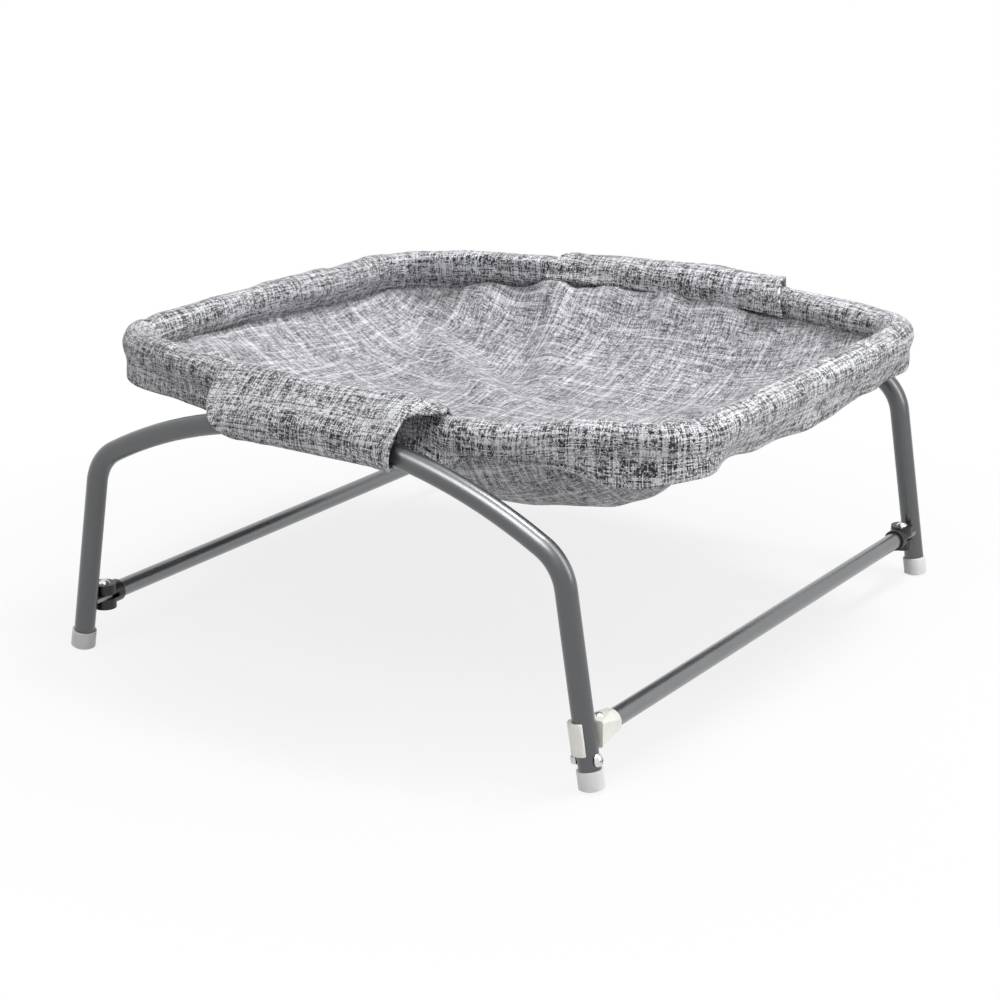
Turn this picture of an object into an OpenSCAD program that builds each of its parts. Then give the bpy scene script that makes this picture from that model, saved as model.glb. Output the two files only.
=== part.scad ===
// Raised dog cot: two bent-tube arches, two folding crossbars with snap clips,
// and a fabric hammock whose padded rim is tied over the arches by two flaps.
// X runs along each arch, Y along the crossbars, Z up.
// The origin lies on the floor under the middle of the cot. Lengths in mm.

/* [Arches] */
// outside diameter of the bent frame tube
tube_d = 16; // [12:0.5:20]
// wall of the frame tube and of the crossbars
tube_wall = 1.2; // [0.8:0.1:2]
// distance between the two foot centres of one arch at the floor
foot_span = 470; // [440:1:520]
// distance between the planes of the two arches
arch_gap = 527; // [500:1:580]
// inward lean of each leg, degrees
leg_lean = 9.5; // [6:0.5:12]
// height of the tube's centre line at the crown of the arch
crown_z = 217; // [200:1:240]
// centre-line radius of the crown arc
crown_r = 400; // [360:5:500]
// centre-line radius of the bend between leg and crown
bend_r = 38; // [30:1:45]

/* [Foot caps] */
// wall of the foot cap around the tube
cap_wall = 1.4; // [1:0.1:2.5]
// height of the foot cap above the floor, along the leg
cap_h = 15; // [10:0.5:20]
// thickness of the cap under the tube end
cap_floor = 4.4; // [3.5:0.1:6]
// radius of the domed underside of the cap
cap_dome_r = 16; // [14:0.5:20]
// diameter of the level pad under the cap
cap_pad_d = 13; // [9:0.5:14]

/* [Crossbars] */
// outside diameter of the crossbars
bar_d = 14; // [10:0.5:15]
// height of the crossbar axis above the floor
bar_z = 38.2; // [36:0.2:60]

/* [Pivot fittings] */
// distance from the leg's axis to the hinge pin
pivot_offset = 20.5; // [20:0.5:26]
// radius of the rounded nose round the hinge pin
nose_r = 9; // [8.5:0.5:12]
// height of the flat nose of the fitting
nose_h = 20; // [17:0.5:24]
// outside diameter of the fitting's socket
pivot_socket_d = 17.5; // [16.5:0.5:24]
// reach of the fitting from the leg's axis
pivot_reach = 35; // [33:0.5:56]
// diameter of the hinge pin
pin_d = 6; // [4:0.5:7]
// diameter of the hinge pin's heads
pin_head_d = 9; // [8:0.5:12]
// rise of the hinge pin's heads
pin_head_h = 2.6; // [1.5:0.1:4]
// thickness of the steel lug on the leg
lug_t = 3; // [2:0.1:5]
// width of the steel lug
lug_w = 13; // [11:0.5:18]

/* [Snap clips] */
// wall of the clip round the leg
clip_wall = 3; // [2:0.1:4]
// height of the clip along the leg
clip_h = 23; // [22:0.5:30]
// half angle of the clip's mouth, degrees
clip_mouth = 72; // [55:1:75]
// width of the clip's block between leg and crossbar
clip_block_w = 18; // [17:0.5:21]
// height of the clip's block between its flat top and underside
clip_block_h = 19.5; // [18:0.5:21]
// outside diameter of the clip's round end, where the crossbar goes in
clip_socket_d = 18.5; // [17:0.5:24]
// reach of the clip from the leg's axis
clip_reach = 33; // [31:0.5:56]
// taper of the clip's block towards its round end, radius per length
clip_taper = 0.13; // [0.05:0.01:0.2]
// diameter of the clip rivet
rivet_d = 4.8; // [3:0.1:6]
// diameter of the clip rivet's heads
rivet_head_d = 8; // [7:0.5:11]
// rise of the clip rivet's heads
rivet_head_h = 2.2; // [1.2:0.1:3]
// distance from the leg's axis to the clip rivet
rivet_offset = 17; // [16.5:0.5:28]

/* [Stop bolts] */
// diameter of the stop bolt under each clip
bolt_d = 5; // [4:0.5:6]
// diameter of the stop bolt's domed head
bolt_head_d = 10; // [8:0.5:11]
// rise of the stop bolt's head
bolt_head_h = 3.2; // [2:0.1:4]
// width of the nut across its flats
nut_w = 8; // [7:0.5:10]
// thickness of the nut
nut_t = 4; // [3:0.5:5]
// gap between the clip and the stop bolt's head
stop_gap = 0.4; // [0.2:0.1:1.5]

/* [Padded rim] */
// distance from the middle to the straight sides of the rim
rim_x = 253; // [235:1:290]
// distance from the middle to the bowed sides at their middle
rim_y = 238; // [225:1:262]
// radius of the rim's corners
rim_corner_r = 50; // [35:1:70]
// half length of the straight sides
rim_half_side = 145; // [125:1:160]
// height of the centre of the rim's roll
roll_z = 229.5; // [220:0.5:250]
// radius of the rim's roll
roll_r = 13; // [11.5:0.5:14]
// radius of the hem under the roll
hem_r = 4; // [3.5:0.1:4.5]
// distance of the hem below the roll's centre
hem_drop = 23; // [21:0.5:26]
// outward shift of the hem from the roll's centre
hem_shift = 6; // [4:0.5:7]
// thickness of the woven cloth
cloth_t = 1.7; // [1:0.1:2]
// diameter of the wire hoop in the rim
hoop_d = 5; // [3:0.5:7]
// wall of the sleeves that join the two hoop halves
sleeve_wall = 1; // [0.5:0.1:1.5]
// length of the sleeves that join the two hoop halves
sleeve_l = 50; // [30:1:80]

/* [Sling] */
// depth of the sling below its edge
sling_depth = 66; // [40:1:90]
// steepness of the sling's sides
sling_power = 4; // [2:0.5:5]
// thickness of the padded sling
sling_t = 5; // [3:0.5:8]
// how much lower on the rim's inner face the sling sits along the left side than beside the flaps
sling_drop = 13; // [0:0.5:15]
// steepness of the sling's side where it is fullest, from the middle of the front to the front right corner
sling_corner_power = 7; // [2:0.5:9]
// height of the sling's main folds
sling_fold = 6; // [0:0.5:8]
// half width of the sling's main folds
fold_w = 20; // [12:1:30]

/* [Flaps] */
// thickness of the flap cloth
flap_t = 2.5; // [1.5:0.1:3]
// half width of the flap where it is sewn to the rim
flap_top = 102; // [80:1:120]
// half width of the flap where it is closed under the rim
flap_end = 78; // [60:1:95]
// shift of the closed end along the arch
flap_skew = 12; // [0:1:20]
// height of the underside of the flap at the crown
flap_bottom_z = 199; // [190:1:203]
// width of the closing tapes
tape_w = 9.5; // [6:0.5:10]
// thickness of each closing tape
tape_t = 1.2; // [0.6:0.1:1.6]
// length of the closing tapes
tape_l = 110; // [60:1:130]

/* [Clearances] */
// radial play of pins and tubes in their holes
run_fit = 0.05; // [0.02:0.01:0.1]
// play between faces that lie against each other
face_fit = 0.05; // [0.02:0.01:0.1]
// radial play of the clip on the leg
clip_fit = 0.3; // [0.2:0.05:0.5]
// play between cloth and what it wraps
soft_fit = 0.4; // [0.3:0.05:0.6]

/* [Hidden] */
$fn = 64;
tube_r = tube_d / 2;
foot_x = foot_span / 2;
arch_y = arch_gap / 2;
bar_r = bar_d / 2;

// arch: leg line, bend centre and the angle where bend meets crown
crown_o = crown_z - crown_r;
leg_dir = [-sin(leg_lean), cos(leg_lean)];
leg_in = [-cos(leg_lean), -sin(leg_lean)];
to_bend = [foot_x, -crown_o] + bend_r * leg_in;
to_bend_run = to_bend * leg_dir;
leg_len = -to_bend_run + sqrt(pow(to_bend_run, 2) - to_bend * to_bend + pow(crown_r - bend_r, 2));
bend_c = [foot_x, 0] + leg_len * leg_dir + bend_r * leg_in;
crown_a = atan2(bend_c[0], bend_c[1] - crown_o);
bend_sweep = 90 - crown_a - leg_lean;
// a bent stretch swells slightly and laps the straight or gently curved stretch that it joins
bend_swell = 0.03;
lap = 0.5;
bend_lap = lap / bend_r * 180 / PI;

// feet
cap_r = tube_r + run_fit + cap_wall;
cap_dome_c = sqrt(pow(cap_dome_r, 2) - pow(cap_pad_d / 2, 2)) / cos(leg_lean);

// crossbars
bar_x = foot_x - bar_z * tan(leg_lean);
bar_s = bar_z / cos(leg_lean);
pivot_y = arch_y - pivot_offset;
slot_end = lug_w / 2 + 1;
bar_stop = slot_end + 1;
bar_far = pivot_y - bar_stop - face_fit;
bar_near = -arch_y + tube_r + clip_fit + clip_wall + 1.5;
pin_seat = nose_h / 2 + face_fit;

// clips and their stops
clip_bore_r = tube_r + clip_fit;
clip_r = clip_bore_r + clip_wall;
clip_root_r = clip_socket_d / 2 + clip_taper * clip_reach;
rivet_seat = clip_block_h / 2;
bolt_s = bar_s - clip_h / 2 - stop_gap - bolt_head_d / 2;
nut_bore_r = bolt_d / 2 + run_fit;

// rim: the bowed sides are arcs that run smoothly into the corner arcs
corner_x = rim_x - rim_corner_r;
bow_k = rim_half_side - rim_y;
bow_r = (pow(rim_corner_r, 2) - pow(corner_x, 2) - pow(bow_k, 2)) / (2 * (bow_k + rim_corner_r));
bow_c = bow_r - rim_y;
bow_a = atan2(corner_x, bow_c + rim_half_side);
corner_lap = lap / rim_corner_r * 180 / PI;
hem = [hem_shift, -hem_drop];
hoop_r = hoop_d / 2;
sleeve_r = hoop_r + run_fit + sleeve_wall;
foam_gap = cloth_t + soft_fit;

hem_a = atan2(hem[1], hem[0]);
side_a = acos((roll_r - hem_r) / norm(hem));
// lengthwise slit of the cover and the foam, where they close under the hem
slit = 0.4;

// flat inner face under the roll, where the sling and the closing tapes sit
under_a = hem_a - side_a;
under_n = [cos(under_a), sin(under_a)];
under_top = roll_r * under_n;
under_end = hem + hem_r * under_n;
under_dir = (under_end - under_top) / norm(under_end - under_top);
under_len = norm(under_end - under_top);
tape_start = under_len - tape_w - 0.5;
hook_gap = soft_fit + tape_t + soft_fit;
flap_gap = hook_gap + tape_t + soft_fit;

// sling
sling_edge = under_top + 1.2 * under_dir + (soft_fit + 0.3) * under_n;
sling_edge_t = 2;
sling_rings = 10;
sling_x = rim_x + sling_edge[0];
sling_y = rim_y + sling_edge[0];
// main folds: start and end as shares of the sling's half sizes,
// then the height in sling_fold and the half width in fold_w
sling_folds = [
    [-0.74, 0.6, -0.09, 0.16, 1.25, 0.8],
    [-0.6, 0.87, -0.06, 0.3, -0.6, 1.1],
    [-0.35, 0.93, -0.12, 0.33, 0.5, 1],
    [0.08, 0.955, 0.04, 0.31, 0.4, 1.2],
    [0.49, 0.89, 0.185, 0.26, -0.5, 1.1],
    [0.82, 0.73, 0.25, 0.2, 0.7, 0.9],
    [0.92, 0.31, 0.37, 0.09, 0.5, 1.1],
    [0.915, -0.26, 0.37, -0.04, -0.4, 1.2],
    [0.25, -0.945, 0.12, -0.26, 0.4, 1.3],
    [-0.45, -0.9, -0.14, -0.26, -0.5, 1.2],
    [-0.82, -0.73, -0.25, -0.22, 0.5, 1],
    [-0.93, -0.18, -0.29, -0.11, 0.4, 1.1],
    [-0.915, 0.31, -0.29, 0.02, -0.45, 1.3]
];
// rounded swellings and hollows: place, height and half width in the same terms
sling_swells = [
    [-0.735, -0.66, 0.3, 3],
    [-0.5, 0.82, 0.8, 2.5],
    [0.6, -0.68, -0.8, 3]
];

// flaps: radii of the middle of the cloth round the roll and round the tube
wrap_roll_r = roll_r + soft_fit + flap_t / 2;
wrap_tube_r = tube_r + soft_fit + flap_t / 2;
flap_stations = 12;

// colours
paint_grey = [0.45, 0.46, 0.47];
bar_silver = [0.62, 0.64, 0.66];
steel = [0.75, 0.76, 0.78];
ivory = [0.93, 0.92, 0.88];
black = [0.08, 0.08, 0.09];
linen = [0.66, 0.66, 0.68];
foam_white = [0.9, 0.9, 0.86];
tape_grey = [0.35, 0.35, 0.37];

// the right-hand set turned half round makes the left-hand set
module half_turn() {
    rotate([0, 0, 180])
        children();
}

// frame along the leg that stands on the +X side of the front arch
module on_leg() {
    translate([foot_x, -arch_y, 0])
        rotate([0, -leg_lean, 0])
            children();
}

module dome(d, h) {
    ball_r = (pow(d / 2, 2) + h * h) / (2 * h);
    intersection() {
        translate([0, 0, h - ball_r])
            sphere(r = ball_r);
        cylinder(d = d + 2, h = h + 1);
    }
}

// arches

module tube_ring(swell) {
    difference() {
        circle(r = tube_r + swell);
        circle(r = tube_r - tube_wall - swell);
    }
}

module arch_side() {
    translate([foot_x, 0, 0])
        rotate([0, -leg_lean, 0])
            translate([0, 0, cap_floor])
                linear_extrude(leg_len - cap_floor)
                    tube_ring(0);
    translate([bend_c[0], 0, bend_c[1]])
        rotate([90, 0, 0])
            rotate([0, 0, leg_lean - bend_lap])
                rotate_extrude(angle = bend_sweep + 2 * bend_lap)
                    translate([bend_r, 0])
                        tube_ring(bend_swell);
}

module arch_tube() {
    color(paint_grey)
        difference() {
            translate([0, -arch_y, 0]) {
                arch_side();
                mirror([1, 0, 0])
                    arch_side();
                translate([0, 0, crown_o])
                    rotate([90, 0, 0])
                        rotate([0, 0, 90 - crown_a])
                            rotate_extrude(angle = 2 * crown_a, $fn = 200)
                                translate([crown_r, 0])
                                    tube_ring(0);
            }
            on_leg()
                translate([0, 0, bolt_s])
                    rotate([0, 90, 0])
                        cylinder(r = bolt_d / 2 + run_fit, h = 2 * tube_d, center = true);
        }
}

module front_arch_tube() {
    arch_tube();
}

module rear_arch_tube() {
    half_turn()
        arch_tube();
}

// foot caps, levelled where they stand on the floor

module foot_cap() {
    color(ivory)
        difference() {
            on_leg()
                difference() {
                    intersection() {
                        translate([0, 0, cap_dome_c - cap_dome_r])
                            cylinder(r = cap_r, h = cap_h + cap_dome_r - cap_dome_c);
                        union() {
                            translate([0, 0, cap_dome_c])
                                sphere(r = cap_dome_r);
                            translate([0, 0, cap_dome_c - 1])
                                cylinder(r = cap_r + 1, h = cap_h);
                        }
                    }
                    translate([0, 0, cap_floor - face_fit])
                        cylinder(r = tube_r + run_fit, h = cap_h);
                }
            translate([foot_x, -arch_y, -cap_dome_r])
                cube([4 * cap_r, 4 * cap_r, 2 * cap_dome_r], center = true);
        }
}

module front_right_foot_cap() {
    foot_cap();
}

module front_left_foot_cap() {
    mirror([1, 0, 0])
        foot_cap();
}

module rear_left_foot_cap() {
    half_turn()
        foot_cap();
}

module rear_right_foot_cap() {
    mirror([0, 1, 0])
        foot_cap();
}

// hinge between each crossbar and its own arch

module at_pivot() {
    translate([bar_x, pivot_y, bar_z])
        children();
}

module pivot_lug() {
    color(paint_grey)
        difference() {
            at_pivot() {
                cylinder(d = lug_w, h = lug_t, center = true);
                translate([-lug_w / 2, 0, -lug_t / 2])
                    cube([lug_w, pivot_offset, lug_t]);
            }
            mirror([0, 1, 0])
                on_leg()
                    cylinder(r = tube_r + face_fit, h = 3 * bar_z);
            at_pivot()
                cylinder(r = pin_d / 2 + run_fit, h = 2 * lug_t, center = true);
        }
}

module hinge_pin() {
    color(steel)
        at_pivot() {
            cylinder(d = pin_d, h = 2 * pin_seat, center = true);
            translate([0, 0, pin_seat])
                dome(pin_head_d, pin_head_h);
            mirror([0, 0, 1])
                translate([0, 0, pin_seat])
                    dome(pin_head_d, pin_head_h);
        }
}

module pivot_fitting() {
    color(black)
        at_pivot()
            difference() {
                union() {
                    cylinder(r = nose_r, h = nose_h, center = true);
                    rotate([90, 0, 0])
                        cylinder(d = pivot_socket_d, h = pivot_reach - pivot_offset);
                }
                translate([0, 0, nose_h / 2])
                    linear_extrude(nose_h)
                        circle(r = nose_r + 1);
                mirror([0, 0, 1])
                    translate([0, 0, nose_h / 2])
                        linear_extrude(nose_h)
                            circle(r = nose_r + 1);
                translate([0, pivot_offset - slot_end, 0])
                    cube([4 * nose_r, 2 * pivot_offset, lug_t + 2 * clip_fit], center = true);
                cylinder(r = pin_d / 2 + run_fit, h = 2 * nose_h, center = true);
                translate([0, -bar_stop, 0])
                    rotate([90, 0, 0])
                        cylinder(r = bar_r + run_fit, h = pivot_reach);
            }
}

module right_pivot_lug() {
    pivot_lug();
}

module left_pivot_lug() {
    half_turn()
        pivot_lug();
}

module right_hinge_pin() {
    hinge_pin();
}

module left_hinge_pin() {
    half_turn()
        hinge_pin();
}

module right_pivot_fitting() {
    pivot_fitting();
}

module left_pivot_fitting() {
    half_turn()
        pivot_fitting();
}

// crossbars

module at_rivet() {
    translate([bar_x, rivet_offset - arch_y, bar_z])
        children();
}

module crossbar() {
    color(bar_silver)
        difference() {
            translate([bar_x, bar_near, bar_z])
                rotate([-90, 0, 0])
                    linear_extrude(bar_far - bar_near)
                        difference() {
                            circle(r = bar_r);
                            circle(r = bar_r - tube_wall);
                        }
            at_rivet()
                cylinder(r = rivet_d / 2 + run_fit, h = 2 * bar_d, center = true);
        }
}

module right_crossbar() {
    crossbar();
}

module left_crossbar() {
    half_turn()
        crossbar();
}

// snap clips on the free ends of the crossbars

module clip_c() {
    difference() {
        cylinder(r = clip_r, h = clip_h, center = true);
        linear_extrude(2 * clip_h, center = true)
            polygon([
                [0, 0],
                [2 * clip_r * cos(clip_mouth), 2 * clip_r * sin(clip_mouth)],
                [4 * clip_r, 0],
                [2 * clip_r * cos(clip_mouth), -2 * clip_r * sin(clip_mouth)]
            ]);
    }
    for (side = [-1, 1])
        rotate([0, 0, side * clip_mouth])
            translate([clip_bore_r + clip_wall / 2, 0, 0])
                cylinder(d = clip_wall, h = clip_h, center = true);
}

// block that tapers to a round end, cut away where the leg slips out through the mouth
module clip_block() {
    difference() {
        translate([bar_x, -arch_y, bar_z])
            rotate([-90, 0, 0])
                intersection() {
                    translate([-clip_block_w / 2, -clip_block_h / 2, 0])
                        cube([clip_block_w, clip_block_h, clip_reach]);
                    cylinder(r1 = clip_root_r, r2 = clip_socket_d / 2, h = clip_reach);
                }
        on_leg()
            translate([0, -clip_bore_r, bar_s - clip_h])
                cube([3 * clip_r, 2 * clip_bore_r, 2 * clip_h]);
    }
}

module snap_clip() {
    color(ivory)
        difference() {
            union() {
                on_leg()
                    translate([0, 0, bar_s])
                        clip_c();
                clip_block();
            }
            on_leg()
                translate([0, 0, bar_s])
                    cylinder(r = clip_bore_r, h = 2 * clip_h, center = true);
            translate([bar_x, bar_near - face_fit, bar_z])
                rotate([-90, 0, 0])
                    cylinder(r = bar_r + run_fit, h = clip_reach);
            at_rivet()
                cylinder(r = rivet_d / 2 + run_fit, h = 2 * clip_block_h, center = true);
        }
}

module clip_rivet() {
    color(steel)
        at_rivet() {
            cylinder(d = rivet_d, h = 2 * (rivet_seat + face_fit), center = true);
            for (up = [0, 1])
                mirror([0, 0, up])
                    translate([0, 0, rivet_seat + face_fit])
                        dome(rivet_head_d, rivet_head_h);
        }
}

module right_snap_clip() {
    snap_clip();
}

module left_snap_clip() {
    half_turn()
        snap_clip();
}

module right_clip_rivet() {
    clip_rivet();
}

module left_clip_rivet() {
    half_turn()
        clip_rivet();
}

// stop bolt under each clip, domed head outward, nut inward

module stop_bolt() {
    color(steel)
        on_leg()
            translate([0, 0, bolt_s])
                rotate([0, 90, 0]) {
                    translate([0, 0, -tube_r - face_fit - nut_t - 1])
                        cylinder(d = bolt_d, h = tube_d + 2 * face_fit + nut_t + 1);
                    translate([0, 0, tube_r + face_fit])
                        difference() {
                            dome(bolt_head_d, bolt_head_h);
                            for (turn = [0, 90])
                                rotate([0, 0, turn])
                                    translate([0, 0, bolt_head_h])
                                        cube([bolt_head_d / 2, bolt_head_d / 9, bolt_head_h], center = true);
                        }
                }
}

module stop_nut() {
    color(steel)
        on_leg()
            translate([0, 0, bolt_s])
                rotate([0, -90, 0])
                    translate([0, 0, tube_r + face_fit])
                        linear_extrude(nut_t)
                            difference() {
                                circle(d = nut_w / cos(30), $fn = 6);
                                circle(r = nut_bore_r);
                            }
}

module right_stop_bolt() {
    stop_bolt();
}

module left_stop_bolt() {
    half_turn()
        stop_bolt();
}

module right_stop_nut() {
    stop_nut();
}

module left_stop_nut() {
    half_turn()
        stop_nut();
}

// padded rim: a rounded square with bowed front and rear

// front half of the hoop; children: the section of the bow, then the section of the corners
module rim_front() {
    translate([0, bow_c, roll_z])
        rotate([0, 0, 270 - bow_a])
            rotate_extrude(angle = 2 * bow_a, $fn = 200)
                translate([bow_r, 0])
                    children(0);
    for (side = [0, 1])
        mirror([side, 0, 0])
            translate([corner_x, -rim_half_side, roll_z])
                rotate([0, 0, 270 + bow_a - corner_lap])
                    rotate_extrude(angle = 90 - bow_a + 2 * corner_lap)
                        translate([rim_corner_r, 0])
                            children(1);
}

module rim_side(length) {
    rotate([90, 0, 0])
        linear_extrude(length)
            children();
}

module rim_hoop() {
    color(steel) {
        rim_front() {
            circle(r = hoop_r);
            circle(r = hoop_r + bend_swell);
        }
        for (side = [0, 1])
            mirror([side, 0, 0])
                translate([rim_x, -face_fit, roll_z])
                    rim_side(rim_half_side - face_fit)
                        circle(r = hoop_r);
    }
}

module front_rim_hoop() {
    rim_hoop();
}

module rear_rim_hoop() {
    half_turn()
        rim_hoop();
}

module hoop_sleeve() {
    color(steel)
        translate([rim_x, 0, roll_z])
            rotate([90, 0, 0])
                linear_extrude(sleeve_l, center = true)
                    difference() {
                        circle(r = sleeve_r);
                        circle(r = hoop_r + run_fit);
                    }
}

module right_hoop_sleeve() {
    hoop_sleeve();
}

module left_hoop_sleeve() {
    half_turn()
        hoop_sleeve();
}

// section of the rim as [outward, up] from the roll's centre, open along a slit at the hem
function aim(a) = [cos(a), sin(a)];
function slit_a(r) = asin(slit / 2 / r);
function open_outline(less) =
    let (
        big = roll_r - less,
        small = hem_r - less,
        slit_turn = slit_a(small)
    )
    concat(
        [hem + small * aim(hem_a + slit_turn), hem + small * aim(hem_a + side_a)],
        [for (i = [0 : 7]) big * aim(hem_a + side_a + (360 - 2 * side_a) * i / 7)],
        [hem + small * aim(hem_a - side_a), hem + small * aim(hem_a - slit_turn)]
    );
function backward(list) = [for (i = [len(list) - 1 : -1 : 0]) list[i]];
function bore_outline(r, n) = [
    for (i = [0 : n - 1])
        let (gap = slit_a(r))
            r * aim(hem_a - gap - (360 - 2 * gap) * i / (n - 1))
];

// stations round the rim as [x, y, direction of the outward side]
function stations(c, r, a0, a1, n) = [
    for (i = [0 : n - 1])
        let (a = a0 + (a1 - a0) * i / n)
            [c[0] + r * cos(a), c[1] + r * sin(a), a]
];
rim_quarter = concat(
    stations([corner_x, -rim_half_side], rim_corner_r, 270 + bow_a, 360, 5),
    [[rim_x, -rim_half_side, 0]],
    stations([corner_x, rim_half_side], rim_corner_r, 0, 90 - bow_a, 5),
    stations([0, -bow_c], bow_r, 90 - bow_a, 90 + bow_a, 14)
);
rim_stations = concat(rim_quarter, [for (q = rim_quarter) [-q[0], -q[1], q[2] + 180]]);

module swept_loop(section) {
    n = len(section);
    rings = len(rim_stations);
    points = [
        for (q = rim_stations) for (p = section)
            [q[0] + p[0] * cos(q[2]), q[1] + p[0] * sin(q[2]), roll_z + p[1]]
    ];
    faces = [
        for (k = [0 : rings - 1]) for (m = [0 : n - 1])
            let (a = k * n, b = ((k + 1) % rings) * n, w = (m + 1) % n)
                each [[a + m, b + w, b + m], [a + m, a + w, b + w]]
    ];
    polyhedron(points = points, faces = faces, convexity = 8);
}

module rim_foam() {
    color(foam_white)
        swept_loop(concat(open_outline(foam_gap), bore_outline((sleeve_r + soft_fit) / cos(30), 7)));
}

module rim_cover() {
    color(linen)
        swept_loop(concat(open_outline(0), backward(open_outline(cloth_t))));
}

// sling: a padded panel that hangs from the inner face of the rim

function arc_points(c, r, a0, a1, n) = [
    for (i = [0 : n - 1])
        let (a = a0 + (a1 - a0) * i / n)
            [c[0] + r * cos(a), c[1] + r * sin(a), a]
];
function ramp(x, low, high) =
    let (t = min(1, max(0, (x - low) / (high - low))))
        t * t * (3 - 2 * t);

// stations round the rim's centre line, with their outward angles
sling_line = concat(
    arc_points([0, bow_c], bow_r, 270 - bow_a, 270 + bow_a, 10),
    arc_points([corner_x, -rim_half_side], rim_corner_r, 270 + bow_a, 360, 6),
    arc_points([rim_x - 1e6, -rim_half_side], 1e6, 0, atan(2 * rim_half_side / 1e6), 8),
    arc_points([corner_x, rim_half_side], rim_corner_r, 0, 90 - bow_a, 6),
    arc_points([0, -bow_c], bow_r, 90 - bow_a, 90 + bow_a, 10),
    arc_points([-corner_x, rim_half_side], rim_corner_r, 90 + bow_a, 180, 6),
    arc_points([1e6 - rim_x, rim_half_side], 1e6, 180, 180 + atan(2 * rim_half_side / 1e6), 8),
    arc_points([-corner_x, -rim_half_side], rim_corner_r, 180, 270 - bow_a, 6)
);
sling_n = len(sling_line);
sling_low = [for (q = sling_line) sling_drop * ramp(-q[0], flap_top + flap_skew, rim_x)];
sling_rim = [
    for (k = [0 : sling_n - 1])
        let (
            q = sling_line[k],
            out = sling_edge[0] + sling_low[k] * under_dir[0]
        )
            [q[0] + out * cos(q[2]), q[1] + out * sin(q[2])]
];

function total(list, k = 0) = k < len(list) ? list[k] + total(list, k + 1) : 0;

// rise of one fold at p: a rounded ridge, or a valley, that fades out towards its inner end
function fold_rise(f, p) =
    let (
        start = [f[0] * sling_x, f[1] * sling_y],
        end = [f[2] * sling_x, f[3] * sling_y],
        run = norm(end - start),
        dir = (end - start) / run,
        at = (p - start) * dir,
        aside = (p - start) * [dir[1], -dir[0]]
    )
        f[4] * sling_fold * exp(-pow(aside / (f[5] * fold_w), 2))
        * ramp(at, -1.5 * fold_w, 1.25 * fold_w)
        * (1 - ramp(at, 0.45 * run, 1.1 * run));
function swell_rise(w, p) =
    let (away = norm(p - [w[0] * sling_x, w[1] * sling_y]))
        w[2] * sling_fold * exp(-pow(away / (w[3] * fold_w), 2));
function sling_relief(p) =
    total([for (f = sling_folds) fold_rise(f, p)]) + total([for (w = sling_swells) swell_rise(w, p)]);

function sling_side(p) =
    let (fullest = ramp(0.35 * p[0] / sling_x - p[1] / sling_y, 0.75, 1.15))
        sling_power + (sling_corner_power - sling_power) * fullest;
function sling_in(j) = pow(j / sling_rings, 1.5);
function sling_top(j, k) =
    let (s = sling_in(j))
        roll_z + sling_edge[1]
        + sling_low[k] * under_dir[1] * pow(1 - s, 2)
        - sling_depth * (1 - pow(1 - s, sling_side(sling_rim[k])))
        + ramp(s, 0, 0.08) * sling_relief(sling_rim[k] * (1 - s));
function sling_thick(j) = sling_edge_t + (sling_t - sling_edge_t) * min(1, 8 * sling_in(j));
function sling_ring(j, under) = [
    for (k = [0 : sling_n - 1])
        let (q = sling_rim[k] * (1 - sling_in(j)))
            [q[0], q[1], sling_top(j, k) - under * sling_thick(j)]
];

module sling() {
    top = [for (j = [0 : sling_rings - 1]) each sling_ring(j, 0)];
    low = [for (j = [0 : sling_rings - 1]) each sling_ring(j, 1)];
    mid_z = roll_z + sling_edge[1] - sling_depth + sling_relief([0, 0]);
    ring_n = sling_rings * sling_n;
    points = concat(top, low, [[0, 0, mid_z], [0, 0, mid_z - sling_t]]);
    top_mid = 2 * ring_n;
    last = (sling_rings - 1) * sling_n;
    faces = concat(
        [for (j = [0 : sling_rings - 2]) for (k = [0 : sling_n - 1])
            let (m = (k + 1) % sling_n, a = j * sling_n, b = a + sling_n)
                each [[a + k, b + k, b + m], [a + k, b + m, a + m]]],
        [for (j = [0 : sling_rings - 2]) for (k = [0 : sling_n - 1])
            let (m = (k + 1) % sling_n, a = ring_n + j * sling_n, b = a + sling_n)
                each [[a + k, b + m, b + k], [a + k, a + m, b + m]]],
        [for (k = [0 : sling_n - 1])
            let (m = (k + 1) % sling_n)
                each [[k, m, ring_n + m], [k, ring_n + m, ring_n + k]]],
        [for (k = [0 : sling_n - 1])
            let (m = (k + 1) % sling_n)
                each [
                    [last + k, top_mid, last + m],
                    [ring_n + last + k, ring_n + last + m, top_mid + 1]
                ]]
    );
    color(linen)
        polyhedron(points = points, faces = faces, convexity = 6);
}

// flaps: cloth sewn to the rim's inner face, over the roll, round the arch and back under the rim

function roll_at(x) = sqrt(pow(bow_r, 2) - x * x) - bow_c;
function crown_at(x) = crown_o + sqrt(pow(crown_r, 2) - x * x) - roll_z;
function turn(c, r, a) = [c[0] + r * cos(a), c[1] + r * sin(a)];

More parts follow.
